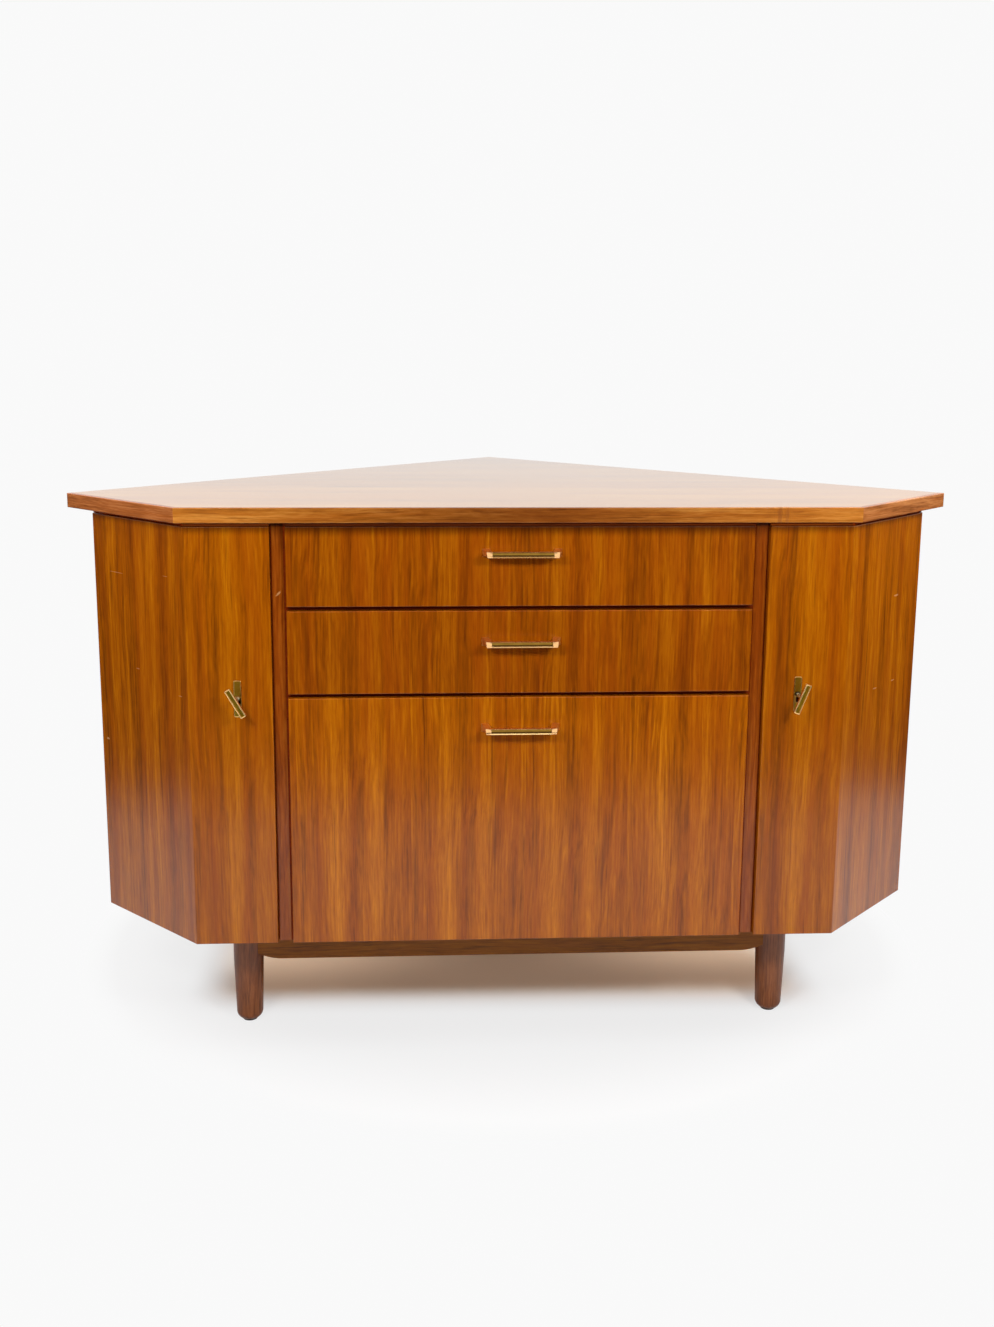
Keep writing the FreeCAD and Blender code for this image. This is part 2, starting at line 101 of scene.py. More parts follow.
class Wiring:
    """Adds nodes to one node tree and joins them."""

    def __init__(self, tree: bpy.types.NodeTree) -> None:
        """Keep the tree that the nodes go into."""
        self.tree = tree

    def add(self, kind: str, **settings: object) -> bpy.types.Node:
        """Add a node.

        Args:
            kind: Blender's name of the node type.
            **settings: Properties to set on it.

        Returns:
            The new node.
        """
        node = self.tree.nodes.new(kind)
        for name, value in settings.items():
            setattr(node, name, value)
        return node

    def feed(self, socket: bpy.types.NodeSocket, value: Feed) -> None:
        """Link a socket into an input, or set the input's own value.

        Args:
            socket: The input.
            value: A socket to link, or a plain value.
        """
        if isinstance(value, bpy.types.NodeSocket):
            self.tree.links.new(value, socket)
        else:
            socket.default_value = value

    def feed_named(self, node: bpy.types.Node, **values: Feed) -> bpy.types.Node:
        """Feed a node's inputs by their names.

        Args:
            node: The node.
            **values: Sockets or plain values, with _ for a space in the inputs' names.

        Returns:
            The same node.
        """
        for name, value in values.items():
            self.feed(node.inputs[name.replace("_", " ")], value)
        return node

    def work(self, kind: str, *values: Feed, **settings: object) -> bpy.types.NodeSocket:
        """Add a node and feed its inputs in order.

        Args:
            kind: Blender's name of the node type.
            *values: Sockets or plain values.
            **settings: Properties to set on it.

        Returns:
            The node's first output.
        """
        node = self.add(kind, **settings)
        for socket, value in zip(node.inputs, values):
            self.feed(socket, value)
        return node.outputs[0]

    def math(self, operation: str, *values: Feed) -> bpy.types.NodeSocket:
        """Work out one number from sockets or plain numbers."""
        return self.work("ShaderNodeMath", *values, operation=operation)

    def vector(self, operation: str, *values: Feed) -> bpy.types.NodeSocket:
        """Work out one vector from sockets or plain vectors."""
        return self.work("ShaderNodeVectorMath", *values, operation=operation)

    def measure(self, operation: str, *values: Feed) -> bpy.types.NodeSocket:
        """Work out one number from vectors."""
        return self.vector(operation, *values).node.outputs["Value"]

    def joined(self, x: Feed, y: Feed, z: Feed) -> bpy.types.NodeSocket:
        """Join three numbers into a vector."""
        return self.work("ShaderNodeCombineXYZ", x, y, z)

    def parted(self, vector: Feed) -> Sequence[bpy.types.NodeSocket]:
        """Part a vector into its three numbers."""
        return self.work("ShaderNodeSeparateXYZ", vector).node.outputs

    def swing(self, value: Feed, amount: Feed, about: Feed = 0.0) -> bpy.types.NodeSocket:
        """Let a value from 0 to 1 swing a number to both sides, by half the amount at most."""
        return self.math("MULTIPLY_ADD", self.math("SUBTRACT", value, 0.5), amount, about)

    def noise(self, vector: Feed, scale: float = 1.0, detail: float = 2.0,
              rough: float = 0.5) -> bpy.types.NodeSocket:
        """Soft noise from 0 to 1.

        Args:
            vector: Where to read it.
            scale: Size of the pattern.
            detail: Number of finer layers.
            rough: Strength of the finer layers.

        Returns:
            The noise's factor.
        """
        node = self.add("ShaderNodeTexNoise")
        return self.feed_named(node, Vector=vector, Scale=scale, Detail=detail, Roughness=rough).outputs[0]

    def ease(self, value: Feed, start: Feed, end: Feed, low: float = 0.0,
             high: float = 1.0) -> bpy.types.NodeSocket:
        """Change softly from one value to another.

        Args:
            value: What the change follows.
            start: Where it begins.
            end: Where it ends.
            low: Result before the start.
            high: Result after the end.

        Returns:
            The result's socket.
        """
        return self.work("ShaderNodeMapRange", value, start, end, low, high, interpolation_type="SMOOTHSTEP")

    def mix(self, factor: Feed, first: Feed, second: Feed, blend: str = "MIX") -> bpy.types.NodeSocket:
        """Mix two colours.

        Args:
            factor: Share of the second one.
            first: Colour at 0.
            second: Colour at 1.
            blend: Way of mixing.

        Returns:
            The mixed colour.
        """
        node = self.add("ShaderNodeMix", data_type="RGBA", blend_type=blend)
        for place, value in zip(MIX_INPUTS, (factor, first, second)):
            self.feed(node.inputs[place], value)
        return node.outputs[MIX_RESULT]

    def ramp(self, value: Feed, stops: Sequence[tuple[float, Colour]]) -> bpy.types.NodeSocket:
        """Colours along a value.

        Args:
            value: Place on the ramp, from 0 to 1.
            stops: Place and colour of each stop, in order.

        Returns:
            The colour's socket.
        """
        node = self.add("ShaderNodeValToRGB")
        row = node.color_ramp.elements
        while len(row) < len(stops):
            row.new(1.0)
        for element, (place, colour) in zip(row, stops):
            element.position = place
            element.color = colour
        self.feed(node.inputs[0], value)
        return node.outputs[0]

    def group(self, tree: bpy.types.NodeTree, **values: Feed) -> bpy.types.bpy_prop_collection:
        """Place a node group, feed its inputs by their names and give its outputs."""
        return self.feed_named(self.add("ShaderNodeGroup", node_tree=tree), **values).outputs


class Surface(Wiring):
    """Wiring of one new material, and the place on the piece that its patterns follow."""

    def __init__(self, name: str) -> None:
        """Begin the material.

        Args:
            name: Name of the material.
        """
        self.made = bpy.data.materials.new(name)
        self.made.use_nodes = True
        super().__init__(self.made.node_tree)
        self.place = self.add("ShaderNodeTexCoord").outputs["Object"]

    def cover(self, height: Feed, strength: float, depth: float, **values: Feed) -> bpy.types.Material:
        """Give the shader its fine relief and its other inputs.

        Args:
            height: Height of the relief.
            strength: Strength of the relief.
            depth: Depth of the relief.
            **values: The shader's inputs, with _ for a space in their names.

        Returns:
            The material.
        """
        relief = self.feed_named(self.add("ShaderNodeBump"), Strength=strength, Distance=depth, Height=height)
        self.feed_named(self.tree.nodes["Principled BSDF"], Normal=relief.outputs[0], **values)
        return self.made


class Socket(Enum):
    """Kinds of socket on a node group."""

    NUMBER = "NodeSocketFloat"
    VECTOR = "NodeSocketVector"


VECTOR_SOCKETS = ("Vector", "Centre", "Way")


@dataclass(frozen=True)
class GrainLayer:
    """One layer of wood grain: what counts it, how often and how long it is, and where a line begins."""

    name: str
    counted: str
    times: float
    along: float
    detail: float
    rough: float
    shift: Triple = (0.0, 0.0, 0.0)
    window: Span | None = None


GRAIN_LAYERS = (
    GrainLayer("Bands", "Bands", 1.0, 0.030, 3.0, 0.55),
    GrainLayer("Streaks", "Streaks", 1.0, 0.030, 3.0, 0.58, (3.1, 0.0, 7.0)),
    GrainLayer("Lines", "Streaks", 2.6, 0.022, 3.0, 0.62, (11.0, 5.0, 2.0)),
    GrainLayer("Flecks", "Streaks", 3.4, 0.080, 2.0, 0.60, (7.0, 13.0, 1.0)),
    GrainLayer("Fibres", "Fibres", 1.0, 0.020, 3.0, 0.6),
    GrainLayer("Veins", "Streaks", 1.25, 0.026, 2.0, 0.6, (21.0, 9.0, 4.0), (0.58, 0.74)),
    GrainLayer("Pores", "Fibres", 1.8, 0.035, 1.0, 0.5, (0.0, 0.0, 0.0), (0.60, 0.74)),
    GrainLayer("Ribbon", "Bands", 1.6, 0.14, 2.0, 0.5, (5.0, 1.0, 0.0)),
    GrainLayer("Tint", "Bands", 2.2, 0.045, 2.0, 0.5, (31.0, 2.0, 8.0), (0.38, 0.66)),
)


@dataclass
class EffectGroups:
    """Effects that several finishes share, each built once as a node group."""

    sway_scale: Triple = (4.0, 4.0, 1.5)
    leaf_sway: float = 0.016
    leaf_step: float = 0.0011
    leaf_slip: float = 0.061
    wander_scale: Triple = (7.0, 7.0, 2.6)
    grit_scale: Triple = (420.0, 420.0, 900.0)
    grit_rough: float = 0.6
    grit: float = 1.1
    scrape_core: float = 0.35
    patch_scale: float = 6.0
    patch_rough: float = 0.55
    hairline_scale: Triple = (9.0, 260.0, 260.0)
    hairline_rough: float = 0.7
    hairline_window: Span = (0.60, 0.72)
    relief_scale: float = 60.0
    leaves: bpy.types.NodeTree = field(init=False)
    grain: bpy.types.NodeTree = field(init=False)
    scrape: bpy.types.NodeTree = field(init=False)
    handling: bpy.types.NodeTree = field(init=False)

    def __post_init__(self) -> None:
        """Build every group."""
        self.leaves = self.build_leaves()
        self.grain = self.build_grain()
        self.scrape = self.build_scrape()
        self.handling = self.build_handling()

    @staticmethod
    def start(name: str, inputs: Sequence[str], outputs: Sequence[str]
              ) -> tuple[Wiring, bpy.types.bpy_prop_collection, bpy.types.bpy_prop_collection]:
        """Begin a group with its sockets.

        Args:
            name: Name of the group.
            inputs: Names of its inputs.
            outputs: Names of its outputs.

        Returns:
            The wiring, the sockets that give the inputs and the sockets that take the results.
        """
        tree = bpy.data.node_groups.new(name, "ShaderNodeTree")
        for way, labels in (("INPUT", inputs), ("OUTPUT", outputs)):
            for label in labels:
                kind = Socket.VECTOR if label in VECTOR_SOCKETS else Socket.NUMBER
                tree.interface.new_socket(name=label, in_out=way, socket_type=kind.value)
        wiring = Wiring(tree)
        return wiring, wiring.add("NodeGroupInput").outputs, wiring.add("NodeGroupOutput").inputs

    def build_leaves(self) -> bpy.types.NodeTree:
        """Leaves of veneer laid side by side, each a slice of the same flitch.

        Returns:
            The group: a place within one leaf, and how far across the leaf it is.
        """
        w, given, made = self.start("veneer_leaves", ("Vector", "Start", "Width"), ("Vector", "Share"))
        x, y, z = w.parted(given["Vector"])
        slow = w.noise(w.vector("MULTIPLY", given["Vector"], self.sway_scale))
        from_start = w.swing(slow, self.leaf_sway, w.math("SUBTRACT", x, given["Start"]))
        counted = w.math("DIVIDE", from_start, given["Width"])
        leaf = w.math("FLOOR", counted)
        share = w.math("SUBTRACT", counted, leaf)
        inside = w.math("MULTIPLY", share, given["Width"])
        deeper = w.math("MULTIPLY_ADD", leaf, self.leaf_step, y)
        slipped = w.math("MULTIPLY_ADD", leaf, self.leaf_slip, z)
        w.feed(made["Vector"], w.joined(inside, deeper, slipped))
        w.feed(made["Share"], share)
        return w.tree

    def build_grain(self) -> bpy.types.NodeTree:
        """Wood grain along z, with one output for each layer.

        Returns:
            The group, whose inputs count the bands, streaks and fibres in a metre.
        """
        w, given, made = self.start("wood_grain", ("Vector", "Wander", "Bands", "Streaks", "Fibres"),
                                    [layer.name for layer in GRAIN_LAYERS])
        slow = w.noise(w.vector("MULTIPLY", given["Vector"], self.wander_scale), detail=3.0)
        side = w.swing(slow, given["Wander"])
        bent = w.vector("ADD", given["Vector"], w.joined(side, side, 0.0))
        for layer in GRAIN_LAYERS:
            often = w.math("MULTIPLY", given[layer.counted], layer.times)
            along = w.math("MULTIPLY", often, layer.along)
            spread = w.vector("MULTIPLY", bent, w.joined(often, often, along))
            value = w.noise(w.vector("ADD", spread, layer.shift), detail=layer.detail, rough=layer.rough)
            if layer.window:
                value = w.ease(value, *layer.window)
            w.feed(made[layer.name], value)
        return w.tree

    def build_scrape(self) -> bpy.types.NodeTree:
        """Short ragged scrape in the lacquer.

        Returns:
            The group, whose mask is 1 in the middle of the scrape.
        """
        w, given, made = self.start("scrape", ("Vector", "Centre", "Way", "Half Length", "Half Height"),
                                    ("Mask",))
        away = w.vector("SUBTRACT", given["Vector"], given["Centre"])
        way_x, _, way_z = w.parted(given["Way"])
        level = w.joined(w.math("MULTIPLY", way_z, -1.0), 0.0, way_x)
        squares = []
        for axis, reach in ((given["Way"], "Half Length"), (level, "Half Height")):
            share = w.math("DIVIDE", w.measure("DOT_PRODUCT", away, axis), given[reach])
            squares.append(w.math("MULTIPLY", share, share))
        distance = w.math("SQRT", w.math("ADD", *squares))
        broken = w.noise(w.vector("MULTIPLY", given["Vector"], self.grit_scale), rough=self.grit_rough)
        w.feed(made["Mask"], w.ease(w.swing(broken, self.grit, distance), 1.0, self.scrape_core))
        return w.tree

    def build_handling(self) -> bpy.types.NodeTree:
        """Uneven gloss and fine waviness of a surface that has been handled and wiped.

        Returns:
            The group: a soft patchiness, fine hairlines and a height.
        """
        w, given, made = self.start("handling", ("Vector", "Scale"), ("Patches", "Hairlines", "Height"))
        scaled = w.vector("SCALE", given["Vector"])
        w.feed_named(scaled.node, Scale=given["Scale"])
        w.feed(made["Patches"], w.noise(scaled, self.patch_scale, 4.0, self.patch_rough))
        lines = w.noise(w.vector("MULTIPLY", scaled, self.hairline_scale), rough=self.hairline_rough)
        w.feed(made["Hairlines"], w.ease(lines, *self.hairline_window))
        w.feed(made["Height"], w.noise(scaled, self.relief_scale, 3.0))
        return w.tree


LYING = Matrix(((0.0, 1.0, 0.0), (0.0, 0.0, 1.0), (1.0, 0.0, 0.0)))


class GrainRun(Enum):
    """Way of the grain through a piece: the plan's turn in degrees, and whether the grain lies flat."""

    UPRIGHT = (0.0, False)
    UPRIGHT_LEFT = (-135.0, False)
    UPRIGHT_RIGHT = (-45.0, False)
    ACROSS = (0.0, True)
    DEPTH = (-90.0, True)
    ALONG_LEFT = (-135.0, True)
    ALONG_RIGHT = (-45.0, True)

    def turn(self) -> Euler:
        """Work out the turn that brings the grain upright in the pattern.

        Returns:
            The turn.
        """
        degrees, lies = self.value
        turned = Matrix.Rotation(math.radians(degrees), 3, "Z")
        return (LYING @ turned if lies else turned).to_euler("XYZ")


@dataclass(frozen=True)
class Figure:
    """Tone across one leaf of veneer: where the first leaf starts, its width, and tones by share of it."""

    start: float
    width: float
    tones: tuple[Span, ...]


@dataclass(frozen=True)
class Scrape:
    """A small mark in the lacquer: its middle across and up the pattern, half size, strength and slant."""

    across: float
    up: float
    half_length: float
    half_height: float
    strength: float = 0.4
    slant: float = 0.0


@dataclass(frozen=True)
class Finish:
    """A finish, with the slot that its pieces go by."""

    name: str
    slot: str

    def material(self, groups: EffectGroups) -> bpy.types.Material:
        """Build the finish's material.

        Args:
            groups: Shared effects.

        Returns:
            The material.
        """
        raise NotImplementedError


@dataclass(frozen=True)
class WoodFinish(Finish):
    """Lacquered or bare wood, with the grain of one way through its pieces."""

    dark: Colour
    middle: Colour
    pale: Colour
    vein: Colour
    tint: Colour
    run: GrainRun = GrainRun.UPRIGHT
    wander: float = 0.022
    bands: float = 24.0
    streaks: float = 110.0
    fibres: float = 900.0
    band_depth: float = 0.35
    streak_depth: float = 0.70
    line_depth: float = 1.00
    fleck_depth: float = 0.60
    fibre_depth: float = 0.45
    ribbon_depth: float = 0.30
    figure_depth: float = 0.58
    vein_depth: float = 0.55
    tint_depth: float = 0.20
    pore_depth: float = 0.30
    roughness: float = 0.20
    roughness_play: float = 0.06
    specular: float = 0.40
    coat: float = 0.0
    bump: float = 0.05
    bump_distance: float = 0.0004
    fibre_height: float = 0.5
    pore_height: float = -0.6
    figure: Figure | None = None
    scrapes: tuple[Scrape, ...] = ()
    scrape_colour: Colour = screen(214, 160, 96)
    scrape_rough: float = 0.15
    scrape_height: float = -0.5
    # painted shadow of the top's overhang: the heights it spans, its strength and its colour
    painted_lip_shadow: Span | None = None
    painted_lip_shadow_depth: float = 0.6
    painted_lip_shadow_colour: Colour = screen(40, 12, 1)
    # painted shade: darker towards the middle of the edge and lighter towards its ends
    painted_middle_shade: Span | None = None
    painted_middle_shade_tint: Colour = (0.48, 0.40, 0.44, 1.0)

    def material(self, groups: EffectGroups) -> bpy.types.Material:
        """Build the wood's material.

        Args:
            groups: Shared effects.

        Returns:
            The material.
        """
        w = Surface(self.name)
        turned = w.feed_named(w.add("ShaderNodeMapping"), Vector=w.place, Rotation=self.run.turn()).outputs[0]
        pattern, tone = turned, 0.5
        if self.figure:
            leaf = w.group(groups.leaves, Vector=turned, Start=self.figure.start, Width=self.figure.width)
            pattern = leaf["Vector"]
            drawn = w.ramp(leaf["Share"], [(at, grey(tone_there)) for at, tone_there in self.figure.tones])
            tone = w.swing(drawn, self.figure_depth, tone)
        grain = w.group(groups.grain, Vector=pattern, Wander=self.wander, Bands=self.bands,
                        Streaks=self.streaks, Fibres=self.fibres)
        for name, depth in (("Bands", self.band_depth), ("Streaks", self.streak_depth),
                            ("Lines", self.line_depth), ("Flecks", self.fleck_depth),
                            ("Fibres", self.fibre_depth), ("Ribbon", self.ribbon_depth)):
            tone = w.swing(grain[name], depth, tone)
        colour = w.ramp(tone, ((0.0, self.dark), (0.5, self.middle), (1.0, self.pale)))
        for name, depth, layer in (("Tint", self.tint_depth, self.tint),
                                   ("Veins", self.vein_depth, self.vein),
                                   ("Pores", self.pore_depth, self.vein)):
            colour = w.mix(w.math("MULTIPLY", grain[name], depth), colour, layer)
        colour = self.age(w, colour)
        handling = w.group(groups.handling, Vector=w.place, Scale=1.0)
        rough = w.swing(handling["Patches"], self.roughness_play, self.roughness)
        height = w.math("MULTIPLY", grain["Fibres"], self.fibre_height)
        height = w.math("MULTIPLY_ADD", grain["Pores"], self.pore_height, height)
        for scrape in self.scrapes:
            mark = w.group(groups.scrape, Vector=turned, Centre=(scrape.across, 0.0, scrape.up),
                           Way=(math.cos(scrape.slant), 0.0, math.sin(scrape.slant)),
                           Half_Length=scrape.half_length, Half_Height=scrape.half_height)["Mask"]
            colour = w.mix(w.math("MULTIPLY", mark, scrape.strength), colour, self.scrape_colour)
            rough = w.math("MULTIPLY_ADD", mark, self.scrape_rough, rough)
            height = w.math("MULTIPLY_ADD", mark, self.scrape_height, height)
        return w.cover(height, self.bump, self.bump_distance, Base_Color=colour, Roughness=rough,
                       Specular_IOR_Level=self.specular, Coat_Weight=self.coat, Coat_Roughness=self.roughness)

    def age(self, w: Surface, colour: Feed) -> Feed:
        """Paint shade on the wood: a band under the top's overhang, and a middle darker than the ends.

        Args:
            w: The material's wiring.
            colour: The wood's colour.

        Returns:
            The colour with the painted shade.
        """
        # painted shadow under the top's overhang
        if self.painted_lip_shadow:
            shaded = w.ease(w.parted(w.place)[2], *self.painted_lip_shadow, 0.0, self.painted_lip_shadow_depth)
            colour = w.mix(shaded, colour, self.painted_lip_shadow_colour)
        # painted shade towards the middle
        if self.painted_middle_shade:
            inward = w.ease(w.math("ABSOLUTE", w.parted(w.place)[0]), *self.painted_middle_shade, 1.0, 0.0)
            colour = w.mix(inward, colour, self.painted_middle_shade_tint, "MULTIPLY")
        return colour


@dataclass(frozen=True)
class MetalFinish(Finish):
    """Polished or dull metal that has darkened a little with age."""

    bright: Triple
    aged: Triple
    roughness: float
    tarnish: float
    pattern_scale: float = 12.0
    tarnish_window: Span = (0.35, 0.75)
    tarnish_rough: float = 0.25
    hairline_rough: float = 0.08
    bump: float = 0.05
    bump_distance: float = 0.0002

    def material(self, groups: EffectGroups) -> bpy.types.Material:
        """Build the metal's material.

        Args:
            groups: Shared effects.

        Returns:
            The material.
        """
        w = Surface(self.name)
        handling = w.group(groups.handling, Vector=w.place, Scale=self.pattern_scale)
        aged = w.ease(handling["Patches"], *self.tarnish_window, 0.0, self.tarnish)
        rough = w.math("MULTIPLY_ADD", aged, self.tarnish_rough, self.roughness)
        rough = w.math("MULTIPLY_ADD", handling["Hairlines"], self.hairline_rough, rough)
        colour = w.mix(aged, (*self.bright, 1.0), (*self.aged, 1.0))
        return w.cover(handling["Height"], self.bump, self.bump_distance, Base_Color=colour, Roughness=rough,
                       Metallic=1.0)


@dataclass(frozen=True)
class MouldedFinish(Finish):
    """Moulded plastic with a fine pebbled surface."""

    colour: Colour
    worn: Colour
    roughness: float = 0.5
    roughness_play: float = 0.2
    pattern_scale: float = 20.0
    bump: float = 0.2
    bump_distance: float = 0.0003

    def material(self, groups: EffectGroups) -> bpy.types.Material:
        """Build the plastic's material.

        Args:
            groups: Shared effects.

        Returns:
            The material.
        """
        w = Surface(self.name)
        handling = w.group(groups.handling, Vector=w.place, Scale=self.pattern_scale)
        rough = w.swing(handling["Patches"], self.roughness_play, self.roughness)
        colour = w.mix(handling["Patches"], self.colour, self.worn)
        return w.cover(handling["Height"], self.bump, self.bump_distance, Base_Color=colour, Roughness=rough)


FRONT_FIGURE = Figure(-0.3112, 0.1555, (
    (0.0, 0.34), (0.07, 0.52), (0.20, 0.46), (0.32, 0.80), (0.41, 0.52), (0.47, 0.16), (0.50, 0.08),
    (0.545, 0.34), (0.60, 0.52), (0.68, 0.78), (0.79, 0.50), (0.92, 0.46), (1.0, 0.34)))
LEFT_SIDE_FIGURE = Figure(0.0388, 0.2188, (
    (0.0, 0.55), (0.06, 0.30), (0.11, 0.60), (0.17, 0.32), (0.23, 0.16), (0.30, 0.55), (0.35, 0.74),
    (0.43, 0.50), (0.48, 0.70), (0.56, 0.20), (0.65, 0.62), (0.735, 0.34), (0.77, 0.68), (0.86, 0.45),
    (0.905, 0.08), (1.0, 0.30)))
RIGHT_SIDE_FIGURE = Figure(0.0388, 0.2188, (
    (0.0, 0.55), (0.07, 0.74), (0.15, 0.48), (0.20, 0.16), (0.27, 0.50), (0.35, 0.68), (0.44, 0.62),
    (0.52, 0.20), (0.60, 0.52), (0.66, 0.72), (0.73, 0.24), (0.78, 0.66), (0.88, 0.45), (0.95, 0.20),
    (1.0, 0.30)))
LEFT_DOOR_FIGURE = Figure(-0.4609, 0.116, (
    (0.0, 0.42), (0.10, 0.56), (0.30, 0.48), (0.37, 0.30), (0.44, 0.66), (0.54, 0.76), (0.64, 0.50),
    (0.71, 0.14), (0.78, 0.58), (0.9, 0.52), (1.0, 0.50)))
RIGHT_DOOR_FIGURE = Figure(0.3449, 0.116, (
    (0.0, 0.58), (0.10, 0.52), (0.19, 0.28), (0.26, 0.12), (0.34, 0.48), (0.50, 0.78), (0.62, 0.56),
    (0.75, 0.52), (0.82, 0.24), (0.90, 0.52), (1.0, 0.50)))

TEAK_FRONTS = WoodFinish(
    "teak_fronts", "teak_veneer", **wood_tones((109, 52, 1), (162, 83, 1), (197, 116, 8)),
    vein=screen(94, 42, 2), tint=screen(148, 60, 4), tint_depth=0.30, line_depth=1.20, fleck_depth=0.72,
    specular=0.34, figure=FRONT_FIGURE)
TEAK_SMALL_FRONTS = replace(
    TEAK_FRONTS, name="teak_small_fronts", **wood_tones((95, 42, 1), (142, 69, 1), (176, 99, 6)),
    # painted shadow under the top's overhang
    painted_lip_shadow=(0.757, 0.7745), painted_lip_shadow_depth=0.80)
TEAK_LEFT_SIDE = replace(
    TEAK_FRONTS, name="teak_left_side", run=GrainRun.UPRIGHT_LEFT, figure=LEFT_SIDE_FIGURE,
    # painted shadow under the top's overhang
    painted_lip_shadow=(0.763, 0.7745), painted_lip_shadow_depth=0.45, specular=0.60, figure_depth=0.85, line_depth=1.0,
    scrapes=(Scrape(0.2010, 0.693, 0.021, 0.0010, 0.13), Scrape(0.1575, 0.558, 0.006, 0.0012, 0.12),
             Scrape(0.0830, 0.701, 0.009, 0.0008, 0.09), Scrape(0.0560, 0.535, 0.005, 0.0011, 0.12),
             Scrape(0.2430, 0.437, 0.005, 0.0022, 0.5)))
TEAK_RIGHT_SIDE = replace(
    TEAK_LEFT_SIDE, name="teak_right_side", run=GrainRun.UPRIGHT_RIGHT, figure=RIGHT_SIDE_FIGURE,
    figure_depth=0.75,
    scrapes=(Scrape(0.1845, 0.657, 0.009, 0.0022, 0.35), Scrape(0.1320, 0.525, 0.008, 0.0016, 0.18),
             Scrape(0.1890, 0.527, 0.008, 0.0016, 0.22)))
TEAK_LEFT_DOOR = replace(
    TEAK_FRONTS, name="teak_left_door", **wood_tones((104, 49, 1), (155, 79, 1), (189, 111, 7)),
    figure=LEFT_DOOR_FIGURE, figure_depth=0.66, line_depth=0.95, fleck_depth=0.55,
    # painted shadow under the top's overhang
    painted_lip_shadow=(0.760, 0.7745), painted_lip_shadow_depth=0.66)
TEAK_RIGHT_DOOR = replace(TEAK_LEFT_DOOR, name="teak_right_door", figure=RIGHT_DOOR_FIGURE)
TEAK_TOP = replace(
    TEAK_FRONTS, name="teak_top", **wood_tones((132, 78, 12), (184, 120, 28), (218, 160, 60)),
    vein=screen(112, 60, 10), tint=screen(178, 102, 18), run=GrainRun.ACROSS, figure=None, bands=14.0,
    streaks=60.0, band_depth=0.9, vein_depth=0.7, roughness=0.10, roughness_play=0.05, specular=0.60,
    coat=0.25, bump=0.02)
TEAK_INSIDE = replace(TEAK_FRONTS, name="teak_inside", figure=None, roughness=0.38)
TEAK_FLAT = replace(TEAK_INSIDE, name="teak_flat", run=GrainRun.ACROSS, bands=14.0, streaks=60.0)
TEAK_LIP = WoodFinish(
    "teak_lip", "teak_solid", **wood_tones((119, 63, 14), (173, 103, 31), (211, 143, 62)),
    vein=screen(96, 42, 8), tint=screen(176, 84, 12), run=GrainRun.ACROSS, bands=60.0, streaks=200.0,
    # painted shade: the middle of the edging darker than its ends
    band_depth=0.8, ribbon_depth=0.9, roughness=0.24, painted_middle_shade=(-0.05, 0.50),
    scrape_colour=screen(112, 54, 12),
    scrapes=(Scrape(-0.409, 0.3555, 0.03, 0.004, 0.45), Scrape(-0.409, 0.366, 0.03, 0.003, 0.3)))
TEAK_LIP_LEFT = replace(
    TEAK_LIP, name="teak_lip_left", **wood_tones((104, 50, 10), (162, 92, 44), (198, 128, 72)),
    run=GrainRun.ALONG_LEFT, painted_middle_shade=None, scrapes=())
TEAK_LIP_RIGHT = replace(
    TEAK_LIP_LEFT, name="teak_lip_right", **wood_tones((104, 50, 10), (170, 102, 50), (202, 132, 74)),
    run=GrainRun.ALONG_RIGHT)
TEAK_STILE = replace(
    TEAK_FRONTS, name="teak_stile", slot="teak_solid", **wood_tones((93, 36, 2), (141, 66, 8), (172, 94, 22)),
    # painted shadow under the top's overhang
    figure=None, bands=40.0, painted_lip_shadow=(0.753, 0.779), painted_lip_shadow_depth=0.7,
    scrapes=(Scrape(-0.3345, 0.680, 0.0062, 0.0018, 0.6, 0.8),))
TEAK_LEG = WoodFinish(
    "teak_leg", "leg_teak", **wood_tones((76, 37, 15), (131, 73, 35), (164, 101, 56)),
    vein=screen(58, 28, 12), tint=screen(120, 58, 28), bands=60.0, streaks=180.0, roughness=0.30)
TEAK_RAIL = replace(
    TEAK_LEG, name="teak_rail", **wood_tones((80, 40, 4), (143, 84, 6), (170, 107, 20)),
    run=GrainRun.ACROSS, roughness=0.42, specular=0.22)
BEECH_DEPTH = WoodFinish(
    "beech_depth", "drawer_beech", **wood_tones((186, 140, 92), (212, 172, 122), (226, 190, 144)),
    vein=screen(160, 112, 70), tint=screen(208, 160, 112), run=GrainRun.DEPTH, bands=40.0, streaks=120.0,
    fibres=420.0, band_depth=0.5, vein_depth=0.15, roughness=0.48, specular=0.35)
BEECH_UPRIGHT = replace(BEECH_DEPTH, name="beech_upright", run=GrainRun.UPRIGHT)
BEECH_ACROSS = replace(BEECH_DEPTH, name="beech_across", run=GrainRun.ACROSS)
BEECH_STAINED = replace(
    BEECH_ACROSS, name="beech_stained", **wood_tones((44, 22, 10), (62, 32, 14), (80, 44, 20)),
    vein=screen(38, 18, 8), tint=screen(60, 28, 12))
